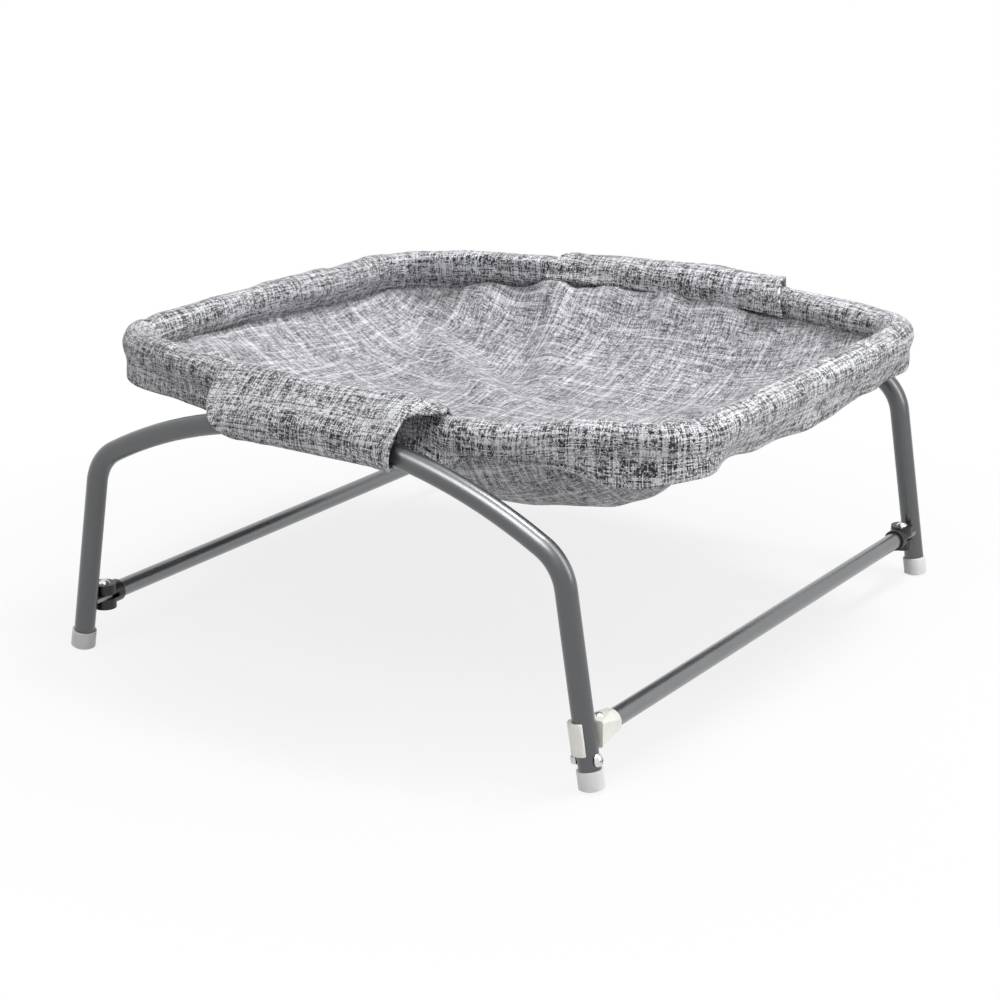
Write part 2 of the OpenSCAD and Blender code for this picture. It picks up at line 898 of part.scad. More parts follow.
// middle of the flap cloth across the arch at x, as [outward from the roll, up from the roll, share along it]
function wrap_path(x) =
    let (
        tube_c = [arch_y - roll_at(x), crown_at(x)],
        slack_c = [tube_c[0], min(tube_c[1], flap_bottom_z + flap_t / 2 + wrap_tube_r - roll_z)],
        over_a = atan2(tube_c[1], tube_c[0]) + acos((wrap_roll_r - wrap_tube_r) / norm(tube_c)),
        close = flap_gap + flap_t / 2,
        close_end = under_top + tape_start * under_dir + close * under_n,
        close_low = under_end - 0.5 * under_dir + close * under_n,
        low = hem_drop + hem_r + soft_fit + flap_t / 2 + 1
    )
    concat(
        [for (i = [0 : 7]) turn([0, 0], wrap_roll_r, 200 + (over_a - 200) * i / 7)],
        [for (i = [0 : 3]) turn(tube_c, wrap_tube_r, over_a * (1 - i / 3))],
        [for (i = [0 : 4]) turn(slack_c, wrap_tube_r, -25 * i)],
        [[hem_shift + 3, min(-low, slack_c[1] - wrap_tube_r + 1)], [hem_shift - 4, -low]],
        [close_low, close_end]
    );

wrap_n = len(wrap_path(0));

function flap_x(k, m) =
    let (
        share = m / (wrap_n - 1),
        half = flap_top + (flap_end - flap_top) * share,
        mid = -flap_skew * share
    )
    mid + half * (2 * k / flap_stations - 1);

function wrap_normal(p, m) =
    let (
        a = p[max(0, m - 1)],
        b = p[min(wrap_n - 1, m + 1)],
        d = (b - a) / norm(b - a)
    )
    [-d[1], d[0]];

function flap_point(k, m, side) =
    let (
        x = flap_x(k, m),
        p = wrap_path(x),
        q = p[m] + side * flap_t / 2 * wrap_normal(p, m)
    )
    [x, -roll_at(x) - q[0], roll_z + q[1]];

function flap_loop(k) = concat(
    [for (m = [0 : wrap_n - 1]) flap_point(k, m, 1)],
    [for (m = [wrap_n - 1 : -1 : 0]) flap_point(k, m, -1)]
);

module flap() {
    loop_n = 2 * wrap_n;
    points = [for (k = [0 : flap_stations]) each flap_loop(k)];
    end = flap_stations * loop_n;
    skin = [for (k = [0 : flap_stations - 1]) for (m = [0 : loop_n - 1])
        let (n = (m + 1) % loop_n, a = k * loop_n, b = a + loop_n)
            each [[a + m, b + m, b + n], [a + m, b + n, a + n]]];
    edges = [for (m = [0 : wrap_n - 2])
        let (r = loop_n - 1 - m)
            each [
                [m, r - 1, r], [m, m + 1, r - 1],
                [end + m, end + r, end + r - 1], [end + m, end + r - 1, end + m + 1]
            ]];
    color(linen)
        polyhedron(points = points, faces = concat(skin, edges), convexity = 8);
}

module front_flap() {
    flap();
}

module rear_flap() {
    half_turn()
        flap();
}

// closing tapes between the flap's end and the underside of the rim

module tape(gap) {
    span_a = 2 * asin(tape_l / 2 / bow_r);
    start = under_top + tape_start * under_dir + gap * under_n;
    color(tape_grey)
        translate([0, bow_c, roll_z])
            rotate([0, 0, 270 - span_a / 2])
                rotate_extrude(angle = span_a, $fn = 200)
                    translate([bow_r, 0])
                        polygon([
                            start,
                            start + tape_w * under_dir,
                            start + tape_w * under_dir + tape_t * under_n,
                            start + tape_t * under_n
                        ]);
}

module front_loop_tape() {
    tape(soft_fit);
}

module rear_loop_tape() {
    half_turn()
        tape(soft_fit);
}

module front_hook_tape() {
    tape(hook_gap);
}

module rear_hook_tape() {
    half_turn()
        tape(hook_gap);
}

front_arch_tube();
rear_arch_tube();
front_left_foot_cap();
front_right_foot_cap();
rear_left_foot_cap();
rear_right_foot_cap();
left_pivot_lug();
right_pivot_lug();
left_hinge_pin();
right_hinge_pin();
left_crossbar();
right_crossbar();
left_pivot_fitting();
right_pivot_fitting();
left_snap_clip();
right_snap_clip();
left_clip_rivet();
right_clip_rivet();
left_stop_bolt();
right_stop_bolt();
left_stop_nut();
right_stop_nut();
front_rim_hoop();
rear_rim_hoop();
left_hoop_sleeve();
right_hoop_sleeve();
rim_foam();
rim_cover();
sling();
front_flap();
rear_flap();
front_loop_tape();
rear_loop_tape();
front_hook_tape();
rear_hook_tape();
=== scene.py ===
"""Raised dog cot: cloth hammock, painted tube frame and moulded fittings."""
import math

import bpy
import numpy as np
from mathutils import Matrix, Vector


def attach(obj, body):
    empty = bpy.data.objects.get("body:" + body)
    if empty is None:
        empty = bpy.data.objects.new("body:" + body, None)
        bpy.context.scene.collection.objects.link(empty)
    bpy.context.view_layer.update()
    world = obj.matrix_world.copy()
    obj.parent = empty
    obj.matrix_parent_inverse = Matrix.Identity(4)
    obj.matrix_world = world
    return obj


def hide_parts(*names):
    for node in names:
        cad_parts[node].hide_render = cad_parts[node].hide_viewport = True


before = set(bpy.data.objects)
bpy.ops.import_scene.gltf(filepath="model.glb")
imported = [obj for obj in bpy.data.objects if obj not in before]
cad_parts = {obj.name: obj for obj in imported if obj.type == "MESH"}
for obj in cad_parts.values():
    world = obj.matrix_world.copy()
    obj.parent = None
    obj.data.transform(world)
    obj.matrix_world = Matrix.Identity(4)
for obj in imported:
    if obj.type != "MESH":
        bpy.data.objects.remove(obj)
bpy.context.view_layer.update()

# sizes in millimetres, as in the solids; only the sling and the flaps are thinner here
MM = 0.001
RIM_X = 253.0
RIM_Y = 238.0
RIM_CORNER_R = 50.0
RIM_HALF_SIDE = 145.0
ROLL_Z = 229.5
ROLL_R = 13.0
HEM_R = 4.0
HEM = np.array([6.0, -23.0])
CLOTH_T = 1.7
SOFT_FIT = 0.4
ARCH_Y = 263.5
TUBE_R = 8.0
CROWN_Z = 217.0
CROWN_R = 400.0
SLING_DEPTH = 66.0
SLING_DROP = 13.0
SLING_POWER = 4.0
SLING_CORNER_POWER = 7.0
SLING_FOLD = 6.0
FOLD_W = 20.0
SLING_T = 2.6
FLAP_T = 2.2
FLAP_EASE = 0.6
FLAP_BOTTOM_Z = 199.0
TAPE_W = 9.5
TAPE_T = 1.2
TAPE_L = 110.0
TAPE_IN = 0.5

# what follows from them: the rim's bows and corners, and its underside, where the sling is sewn on
CORNER_X = RIM_X - RIM_CORNER_R
BOW_K = RIM_HALF_SIDE - RIM_Y
BOW_R = (RIM_CORNER_R**2 - CORNER_X**2 - BOW_K**2) / (2 * (BOW_K + RIM_CORNER_R))
BOW_C = BOW_R - RIM_Y
BOW_A = math.atan2(CORNER_X, BOW_C + RIM_HALF_SIDE)
HEM_A = math.atan2(HEM[1], HEM[0])
SIDE_A = math.acos((ROLL_R - HEM_R) / np.linalg.norm(HEM))
UNDER_A = HEM_A - SIDE_A
UNDER_N = np.array([math.cos(UNDER_A), math.sin(UNDER_A)])
UNDER_TOP = ROLL_R * UNDER_N
UNDER_END = HEM + HEM_R * UNDER_N
UNDER_LEN = np.linalg.norm(UNDER_END - UNDER_TOP)
UNDER_DIR = (UNDER_END - UNDER_TOP) / UNDER_LEN
TAPE_START = UNDER_LEN - TAPE_W - TAPE_IN
SEAM_DOWN = 1.2
SEAM_OFF = 0.7
SLING_EDGE = UNDER_TOP + SEAM_DOWN * UNDER_DIR + SEAM_OFF * UNDER_N
SLING_X = RIM_X + SLING_EDGE[0]
SLING_Y = RIM_Y + SLING_EDGE[0]
# height of the hem's stitches from the roll's centre, and room between the foam and its cover
STITCH_UP = -8.5
FOAM_ROOM = 2.9

# places of the flaps' ends for each share of the way round the rim and the arch
FLAP_SHARES = [0.0, 0.2, 0.27, 0.3, 0.33, 0.36, 0.4, 0.48, 0.56, 0.62, 0.7, 1.0]
FRONT_FLAP_ENDS = [
    [-113.0, -111.0, -110.0, -109.0, -108.0, -107.0, -106.0, -100.5, -93.0, -82.0, -68.0, -60.0],
    [88.0, 90.0, 97.0, 93.0, 84.0, 79.0, 75.5, 75.0, 77.0, 76.0, 66.0, 60.0],
]
REAR_FLAP_ENDS = [
    [-128.0, -118.0, -110.5, -108.5, -107.0, -105.0, -103.0, -99.0, -95.0, -92.0, -90.0, -84.0],
    [113.0, 98.0, 88.0, 87.0, 87.0, 87.0, 87.0, 86.0, 84.0, 82.0, 80.0, 70.0],
]
# where each flap is sewn on, as [outward, up] from the roll's centre
FRONT_FLAP_SEAM = np.array([-13.8, -6.5])
REAR_FLAP_SEAM = np.array([-16.5, -8.0])
# the flaps' hems: distance of the stitches from the cut edge
FLAP_HEM_W = 7.0


# shapes

def smooth(x, low, high):
    """0 below low, 1 above high and an even ramp between."""
    t = np.clip((x - low) / (high - low), 0, 1)
    return t * t * (3 - 2 * t)


def bump(x, middle, half_width):
    """1 at the middle, falling to 0 at half_width on each side."""
    return 1 - smooth(np.abs(x - middle), 0, half_width)


def unevenness(seed, points, waves, count=24):
    """Smooth repeatable lumps of about -1 to 1 at points (..., d), with wavelengths between the two given."""
    rng = np.random.default_rng(seed)
    points = np.asarray(points, float)
    total = np.zeros(points.shape[:-1])
    for _ in range(count):
        direction = rng.normal(size=points.shape[-1])
        direction /= np.linalg.norm(direction)
        length = math.exp(rng.uniform(math.log(waves[0]), math.log(waves[1])))
        total += np.sin(2 * math.pi * (points @ direction) / length + rng.uniform(0, 2 * math.pi))
    return total / math.sqrt(count / 2) * 0.6


def ring_unevenness(seed, share, turns, count=20):
    """Smooth repeatable lumps round a closed loop, share from 0 to 1, with whole numbers of waves."""
    rng = np.random.default_rng(seed)
    total = np.zeros(np.shape(share))
    for _ in range(count):
        wave = rng.integers(turns[0], turns[1] + 1)
        total += np.sin(2 * math.pi * (wave * share + rng.uniform()))
    return total / math.sqrt(count / 2) * 0.6


def along(points):
    """Distance along a line of points from its first point."""
    steps = np.linalg.norm(np.diff(points, axis=0), axis=1)
    return np.concatenate([[0], np.cumsum(steps)])


def even(points, count, closed=False):
    """The same line with points at even steps."""
    if closed:
        points = np.vstack([points, points[:1]])
    at = along(points)
    want = np.linspace(0, at[-1], count + 1)[:-1] if closed else np.linspace(0, at[-1], count)
    return np.stack([np.interp(want, at, points[:, k]) for k in range(points.shape[1])], axis=1)


def arc(centre, radius, start, end, count):
    """Points of an arc, angles in radians."""
    a = np.linspace(start, end, count)
    return np.stack([centre[0] + radius * np.cos(a), centre[1] + radius * np.sin(a)], axis=1)


def rim_line():
    """The rim's centre line from the middle of the left side, front first: x, y and outward angle."""
    corner = math.pi / 2 - BOW_A
    runs = [
        (-CORNER_X, -RIM_HALF_SIDE, RIM_CORNER_R, math.pi, math.pi + corner),
        (0, BOW_C, BOW_R, math.pi + corner, 2 * math.pi - corner),
        (CORNER_X, -RIM_HALF_SIDE, RIM_CORNER_R, 2 * math.pi - corner, 2 * math.pi),
        (CORNER_X, RIM_HALF_SIDE, RIM_CORNER_R, 2 * math.pi, 2 * math.pi + corner),
        (0, -BOW_C, BOW_R, 2 * math.pi + corner, 3 * math.pi - corner),
        (-CORNER_X, RIM_HALF_SIDE, RIM_CORNER_R, 3 * math.pi - corner, 3 * math.pi),
    ]
    line = [np.array([[-RIM_X, 0, math.pi]])]
    for x, y, radius, start, end in runs:
        a = np.linspace(start, end, 400)
        line.append(np.stack([x + radius * np.cos(a), y + radius * np.sin(a), a], axis=1))
    line.append(np.array([[-RIM_X, 0, 3 * math.pi]]))
    return np.vstack(line)


def rim_stations(count):
    """Even steps round the rim: x, y, outward angle, and the distance along."""
    line = rim_line()
    at = along(line[:, :2])
    want = np.linspace(0, at[-1], count + 1)[:-1]
    return [np.interp(want, at, line[:, k]) for k in range(3)] + [want, at[-1]]


def teardrop(count):
    """Section of the rim as [outward, up] from the roll's centre, from the sling's seam round to the hem."""
    top = arc((0, 0), ROLL_R, 2 * math.pi + UNDER_A, HEM_A + SIDE_A, 200)
    low = arc(HEM, HEM_R, HEM_A + SIDE_A, UNDER_A, 80)
    return even(np.vstack([top, low]), count, closed=True)


def outward(section):
    """Unit normals of a closed section that runs clockwise."""
    step = np.roll(section, -1, axis=0) - np.roll(section, 1, axis=0)
    normal = np.stack([-step[:, 1], step[:, 0]], axis=1)
    return normal / np.linalg.norm(normal, axis=1, keepdims=True)


# meshes

def quads(rows, columns, wrap_rows, wrap_columns):
    """Faces of a grid of points, and the grid places of their corners."""
    r, c = np.meshgrid(
        np.arange(rows - 1 + wrap_rows), np.arange(columns - 1 + wrap_columns), indexing="ij"
    )
    r = r.ravel()
    c = c.ravel()
    corner_r = np.stack([r, r + 1, r + 1, r], axis=1)
    corner_c = np.stack([c, c, c + 1, c + 1], axis=1)
    return (corner_r % rows) * columns + corner_c % columns, corner_r, corner_c


def tube_faces(rows, columns):
    """Faces of a tube of rows of points, closed at both ends."""
    ends = [list(range(columns))[::-1], list(range((rows - 1) * columns, rows * columns))]
    return [*quads(rows, columns, False, True)[0].tolist(), *ends]


def mesh_piece(name, points, faces, uv=None):
    """A new smooth-shaded mesh object from points in millimetres; uv in metres for each face corner."""
    mesh = bpy.data.meshes.new(name)
    mesh.from_pydata((np.asarray(points) * MM).tolist(), [], [list(f) for f in faces])
    if uv is not None:
        layer = mesh.uv_layers.new(name="cloth")
        layer.data.foreach_set("uv", np.asarray(uv, np.float32).ravel())
    mesh.polygons.foreach_set("use_smooth", np.ones(len(mesh.polygons), bool))
    mesh.update()
    piece = bpy.data.objects.new(name, mesh)
    bpy.context.scene.collection.objects.link(piece)
    return piece


def grid_piece(name, points, uv, wrap_rows=False, wrap_columns=False, flip=False):
    """A mesh from a grid of points (rows, columns, 3); uv has a row or column more where it closes."""
    rows, columns = points.shape[:2]
    faces, corner_r, corner_c = quads(rows, columns, wrap_rows, wrap_columns)
    corner_uv = uv[corner_r, corner_c]
    if flip:
        faces = faces[:, ::-1]
        corner_uv = corner_uv[:, ::-1]
    return mesh_piece(name, points.reshape(-1, 3), faces, corner_uv.reshape(-1, 2) * MM)


def add_modifier(piece, kind, **settings):
    """A modifier of a kind on a piece, with its settings."""
    modifier = piece.modifiers.new(kind.title(), kind)
    for key, value in settings.items():
        setattr(modifier, key, value)


# rim

def rim_places(stations, section):
    """Grid of points where a section (stations, n, 2) is carried round the rim."""
    x, y, angle = stations[:3]
    out = section[..., 0]
    return np.stack([
        x[:, None] + out * np.cos(angle)[:, None],
        y[:, None] + out * np.sin(angle)[:, None],
        ROLL_Z + section[..., 1],
    ], axis=2)


CORNERS = {
    "front_left": (-CORNER_X, -RIM_HALF_SIDE),
    "front_right": (CORNER_X, -RIM_HALF_SIDE),
    "rear_right": (CORNER_X, RIM_HALF_SIDE),
    "rear_left": (-CORNER_X, RIM_HALF_SIDE),
}


def corner_nearness(x, y, which, reach):
    """1 at the middle of a corner of the rim, 0 at a distance of reach from it."""
    cx, cy = CORNERS[which]
    a = math.atan2(cy, cx)
    mid = np.array([cx, cy]) + RIM_CORNER_R * np.array([math.cos(a), math.sin(a)])
    return 1 - smooth(np.hypot(x - mid[0], y - mid[1]), 0, reach)


def front_run(y):
    """1 along the front of the rim, 0 elsewhere."""
    return smooth(-y, 190, 225)


def right_run(x, y):
    """1 along the right side of the rim, where the hem turns under, 0 elsewhere."""
    return smooth(x, 238, 251) * smooth(y, -160, -115) * (1 - smooth(y, 135, 165))


def tuck_run(x, y):
    """1 along the front of the rim where the hem is tucked, right of the front flap, 0 elsewhere."""
    return smooth(x, 95, 125) * (1 - smooth(x, 190, 212)) * front_run(y)


def rim_droop(x, y):
    """How far the rim hangs below its even height, in millimetres."""
    front_left = 2.5 * corner_nearness(x, y, "front_left", 120)
    rear_left = 7.0 * corner_nearness(x, y, "rear_left", 190)
    rear_right = 3.0 * corner_nearness(x, y, "rear_right", 90)
    left_side = 2.5 * smooth(-x, 215, 250) * (1 - smooth(np.abs(y - 15), 50, 150))
    rear_side = (1.7 * (1 - smooth(x, -40, 60)) + 4.0 * bump(x, -80, 62)) * smooth(y, 205, 235)
    front_side = 8.5 * smooth(x, 66, 96) * (1 - smooth(x, 128, 215)) * front_run(y)
    return front_left + rear_left + left_side + rear_side + front_side - rear_right


def hem_hang(x, y):
    """How far the rim's hem hangs below its even height, in millimetres."""
    front_left = 4.0 * corner_nearness(x, y, "front_left", 95)
    front_right = 6.0 * (1 - smooth(np.hypot(x - 220, y + 208), 12, 58))
    rear_right = 3.0 * corner_nearness(x, y, "rear_right", 45)
    tuck = 14.0 * smooth(x, 85, 118) * (1 - smooth(x, 188, 216)) * front_run(y)
    right_side = (4.0 + 5.0 * bump(y, 22, 75) - 5.0 * bump(y, -125, 60)) * right_run(x, y)
    return front_left + front_right + rear_right + right_side - tuck


def rim_lift(stations, section):
    """How far the rim's cover stands out from its even section, in millimetres (stations, section)."""
    x, y, _, at, length = stations
    share = at / length
    out, up = section[:, 0], section[:, 1]
    outer_face = smooth(out, 4, 9)
    inner_face = smooth(-out, 4, 9)
    front = front_run(y)[:, None]
    corners = sum(corner_nearness(x, y, corner, 85) for corner in CORNERS)[:, None]

    # lumps of the padding, and the dent between the roll and the hem
    field = np.stack(np.meshgrid(at, along(section) * 1.6, indexing="ij"), axis=2)
    swell = 0.8 * ring_unevenness(3, share, turns=(9, 30))[:, None] * smooth(up, -12, 6)
    swell = swell + 0.4 * unevenness(5, field, waves=(22, 70))
    dent = (0.7 + 0.5 * ring_unevenness(8, share, turns=(6, 24)))[:, None] * bump(up, -12.5, 7.5) * outer_face
    dent = dent * (1 + 1.2 * front)

    # puckers and creases along the seams, most of them at the corners
    stitch_dip = 0.5 * bump(up, STITCH_UP, 1.5) * outer_face
    pucker = ring_unevenness(11, share, turns=(100, 190))[:, None]
    crease = ring_unevenness(13, share, turns=(60, 120))[:, None]
    seam = bump(up, STITCH_UP, 6.5) * outer_face + 0.8 * bump(up, -7, 8) * inner_face
    lift = swell - dent - stitch_dip + (0.25 * pucker + (0.15 + 1.0 * corners) * crease) * seam

    # the tuck right of the front flap: a groove that slants down to the right, and a swelling over it
    tucked = tuck_run(x, y)[:, None] * outer_face
    over_groove = up[None] - (-15.5 - 0.085 * (x - 110))[:, None]
    lift = lift - 2.2 * tucked * np.exp(-((over_groove / 2.0) ** 2))
    lift = lift + 1.8 * tucked * smooth(over_groove, 0.5, 5)
    lift = lift + 0.7 * corners * ring_unevenness(17, share, turns=(70, 130))[:, None] * smooth(-out, -2, 8)

    # a pinch at the front left, a squarer inner face at the rear left, and a dent under the front flap's end
    pinch = 1.8 * np.exp(-((np.hypot(x + 252, y + 150) / 7) ** 2))
    lift = lift - pinch[:, None] * smooth(up, -2, 8)
    rear_left = (smooth(y, 150, 200) * smooth(-x, 60, 110))[:, None]
    lift = lift + 4.6 * rear_left * smooth(-out, 1, 8) * bump(up, 8, 7)
    pressed = np.exp(-(((x - 74) / 14) ** 2))[:, None] * front * outer_face
    return lift - 4.2 * pressed * smooth(up, -15, -6)


def build_rim_cover():
    """The padded rim's cover, and the line of its hem stitches with their outward directions."""
    stations = rim_stations(count=960)
    x, y, angle, at, length = stations
    share = at / length
    section = teardrop(count=72)
    out, up = section[:, 0], section[:, 1]

    shape = section[None] + rim_lift(stations, section)[..., None] * outward(section)[None]
    low = smooth(-up, 8, 26)
    corners = sum(corner_nearness(x, y, corner, 85) for corner in CORNERS)
    hang = hem_hang(x, y) + 0.9 * ring_unevenness(19, share, turns=(9, 30))
    sway = 0.8 * ring_unevenness(23, share, turns=(9, 34)) * (1 + corners)
    turned_under = 8.0 * right_run(x, y) - 3.0 * tuck_run(x, y)
    shape[..., 1] -= hang[:, None] * low + rim_droop(x, y)[:, None]
    shape[..., 0] += (sway - turned_under)[:, None] * low
    points = rim_places(stations, shape)

    on_inner_side = 100 * (out < 0)
    seam_column = np.argmin(np.abs(up - STITCH_UP) + on_inner_side)
    seam = points[:, seam_column]
    level = np.stack([np.cos(angle), np.sin(angle), np.zeros(len(angle))], axis=1)
    seam_line = (np.vstack([seam, seam[:1]]), np.vstack([level, level[:1]]))

    u = np.append(at, length)
    v = along(np.vstack([section, section[:1]]))
    uv = np.stack(np.meshgrid(u, v, indexing="ij"), axis=2)
    return grid_piece("hammock_rim", points, uv, wrap_rows=True, wrap_columns=True), seam_line


def build_rim_foam():
    """The foam roll inside the rim's cover."""
    count = 240
    radius = ROLL_R - CLOTH_T - SOFT_FIT - FOAM_ROOM
    roll = arc((0, 0), radius, math.radians(-140), math.radians(-420), 22)
    lowest = [2.5, -13.0]
    outline = np.vstack([roll, [lowest]])
    stations = rim_stations(count)
    section = np.broadcast_to(outline, (count, *outline.shape)).copy()
    section[..., 1] -= rim_droop(*stations[:2])[:, None]
    uv = np.zeros((count + 1, len(outline) + 1, 2))
    return grid_piece("rim_foam_roll", rim_places(stations, section), uv, wrap_rows=True, wrap_columns=True)


def build_stitches(name, lines, pitch=6.0, length=4.4, thick=0.42):
    """Sewn stitches along lines of (points, outward directions)."""
    sides = np.linspace(0, 2 * math.pi, 6, endpoint=False)
    stations = np.array([-0.5, -0.36, 0.0, 0.36, 0.5])
    girths = np.array([0.25, 0.9, 1.0, 0.9, 0.25]) * thick
    stitch_faces = tube_faces(len(stations), len(sides))
    points, faces = [], []
    for line, outs in lines:
        at = along(line)
        for centre in np.arange(pitch / 2, at[-1] - pitch / 2, pitch):
            places = centre + stations * length
            middle = np.stack([np.interp(places, at, line[:, k]) for k in range(3)], axis=1)
            out = np.array([np.interp(centre, at, outs[:, k]) for k in range(3)])
            out /= np.linalg.norm(out)
            side = np.cross(middle[-1] - middle[0], out)
            side /= np.linalg.norm(side)
            ring = np.cos(sides)[:, None] * side + (0.15 + np.sin(sides))[:, None] * out
            start = len(points) * len(stations) * len(sides)
            points.append((middle[:, None] + girths[:, None, None] * ring[None]).reshape(-1, 3))
            faces += [[c + start for c in face] for face in stitch_faces]
    return mesh_piece(name, np.vstack(points), faces)


# sling

def square_to_rim(cells):
    """Grid on a square laid over the sling: share of the way out, place on the rim, for each point."""
    line = rim_line()
    at = along(line[:, :2])
    length = at[-1]
    side = np.linspace(-1, 1, cells + 1)
    a, b = np.meshgrid(side, side, indexing="ij")
    r = np.maximum(np.abs(a), np.abs(b))
    safe = np.where(r > 0, r, 1)
    ea, eb = a / safe, b / safe
    # share round the square from the middle of its left side, front first
    close = 1e-9
    on_left = -ea >= np.abs(eb) - close
    on_front = -eb >= np.abs(ea) - close
    on_right = ea >= np.abs(eb) - close
    turn = np.where(on_left, -eb, 0.0)
    turn = np.where(on_front & ~on_left, 2 + ea, turn)
    turn = np.where(on_right & ~on_front & ~on_left, 4 + eb, turn)
    turn = np.where(~(on_left | on_front | on_right), 6 - ea, turn)
    share = (turn % 8) / 8
    quarter = np.array([0, 1, 3, 5, 7, 8]) / 8
    corner_at = [at[np.argmin(np.abs(line[:, 2] - angle))] for angle in corner_angles()]
    where = np.interp(share, quarter, [0, *corner_at, length])
    place = np.stack([np.interp(where, at, line[:, k]) for k in range(3)], axis=2)
    return r, place


def corner_angles():
    """Outward angles at the middles of the rim's corners, in the order of rim_line."""
    half = (math.pi / 2 - BOW_A) / 2
    return [math.pi + half, 2 * math.pi - half, 2 * math.pi + half, 3 * math.pi - half]


# main folds of the sling: start and end as shares of its half sizes,
# then the height in SLING_FOLD and the half width in FOLD_W
SLING_FOLDS = [
    (-0.74, 0.6, -0.09, 0.16, 1.25, 0.8),
    (-0.6, 0.87, -0.06, 0.3, -0.6, 1.1),
    (-0.35, 0.93, -0.12, 0.33, 0.5, 1.0),
    (0.08, 0.955, 0.04, 0.31, 0.4, 1.2),
    (0.49, 0.89, 0.185, 0.26, -0.5, 1.1),
    (0.82, 0.73, 0.25, 0.2, 0.7, 0.9),
    (0.92, 0.31, 0.37, 0.09, 0.5, 1.1),
    (0.915, -0.26, 0.37, -0.04, -0.4, 1.2),
    (0.25, -0.945, 0.12, -0.26, 0.4, 1.3),
    (-0.45, -0.9, -0.14, -0.26, -0.5, 1.2),
    (-0.82, -0.73, -0.25, -0.22, 0.5, 1.0),
    (-0.93, -0.18, -0.29, -0.11, 0.4, 1.1),
    (-0.915, 0.31, -0.29, 0.02, -0.45, 1.3),
]
# rounded swellings and hollows: place, height and half width in the same terms
SLING_SWELLS = [
    (-0.735, -0.66, 0.3, 3.0),
    (-0.5, 0.82, 0.8, 2.5),
    (0.6, -0.68, -0.8, 3.0),
]
# finer creases over the folds, in the same terms
SLING_CREASES = [
    (-0.86, 0.7, -0.22, 0.22, 0.9, 0.42),
    (-0.78, 0.8, -0.18, 0.44, -0.75, 0.48),
    (-0.92, 0.48, -0.42, 0.22, 0.25, 0.36),
    (-0.42, 0.94, -0.2, 0.48, 0.25, 0.4),
    (0.5, 0.92, 0.3, 0.48, 0.25, 0.4),
    (0.82, 0.72, 0.36, 0.3, 0.35, 0.38),
    (0.9, 0.5, 0.5, 0.3, -0.25, 0.4),
    (0.86, -0.7, 0.5, -0.34, 0.25, 0.4),
    (-0.86, -0.7, -0.36, -0.3, 0.35, 0.4),
    (-0.9, -0.45, -0.46, -0.24, -0.25, 0.42),
]


def folds_rise(x, y, folds):
    """Rise of folds at a place, in millimetres; each winds a little and fades towards its end."""
    rise = np.zeros(np.shape(x))
    for x0, y0, x1, y1, height, width in folds:
        start = np.array([x0 * SLING_X, y0 * SLING_Y])
        run = np.array([x1 * SLING_X, y1 * SLING_Y]) - start
        length = np.linalg.norm(run)
        run /= length
        at = (x - start[0]) * run[0] + (y - start[1]) * run[1]
        aside = (x - start[0]) * run[1] - (y - start[1]) * run[0] - 4 * np.sin(at / 38 + start[0])
        fade = smooth(at, -1.5 * FOLD_W, 1.25 * FOLD_W) * (1 - smooth(at, 0.45 * length, 1.1 * length))
        rise += height * SLING_FOLD * np.exp(-((aside / (width * FOLD_W)) ** 2)) * fade
    return rise


def sling_relief(x, y):
    """Rise of the sling's folds, creases and swellings at a place, in millimetres."""
    rise = folds_rise(x, y, SLING_FOLDS) + folds_rise(x, y, SLING_CREASES)
    for x0, y0, height, width in SLING_SWELLS:
        away = np.hypot(x - x0 * SLING_X, y - y0 * SLING_Y)
        rise += height * SLING_FOLD * np.exp(-((away / (width * FOLD_W)) ** 2))
    return rise


def sling_edge_line():
    """Round the sling's edge by direction from its middle: direction, distance, height and steepness."""
    x, y, angle = rim_stations(count=1440)[:3]
    low = SLING_DROP * smooth(-x, 98, 150) * smooth(y, -200, 150)
    out = SLING_EDGE[0] + low * UNDER_DIR[0]
    x_edge = x + out * np.cos(angle)
    y_edge = y + out * np.sin(angle)
    z_edge = ROLL_Z + SLING_EDGE[1] + low * UNDER_DIR[1] - rim_droop(x, y)
    fullest = smooth(0.35 * x_edge / SLING_X - y_edge / SLING_Y, 0.75, 1.15)
    power = SLING_POWER + (SLING_CORNER_POWER - SLING_POWER) * fullest
    turn = np.unwrap(np.arctan2(y_edge, x_edge)) % (2 * math.pi)
    order = np.argsort(turn)
    return [values[order] for values in (turn, np.hypot(x_edge, y_edge), z_edge, power)]


def sling_bowl(x, y, edge):
    """Height of the sling's upper face without its folds, share of the way in, and place on its edge."""
    turn = np.arctan2(y, x) % (2 * math.pi)
    reach, z_edge, power = (np.interp(turn, edge[0], values, period=2 * math.pi) for values in edge[1:])
    r = np.minimum(np.hypot(x, y) / reach, 1)
    level = ROLL_Z + SLING_EDGE[1]
    z = level + (z_edge - level) * r**2 - SLING_DEPTH * (1 - r**power)
    return z, 1 - r, np.stack([np.cos(turn), np.sin(turn)], axis=-1) * (reach + 150)[..., None]


def edge_rise(x, y, s):
    """Rise of the sling beside its seam: the full front left corner, and waves along the rear of the rim."""
    off_corner = np.hypot((x + 217) / 25, (y + 122) / 52)
    bulge = 20.0 * smooth(s, 0.005, 0.07) * np.exp(-(off_corner**2))
    rear = smooth(x, -222, -180) * (1 - smooth(x, 40, 150)) * smooth(y, 0, 150)
    wave = 11.0 + 2.5 * np.cos((x + 165) / 9.2)
    return bulge + rear * wave * smooth(s, 0.0, 0.03) * (1 - smooth(s, 0.03, 0.16))


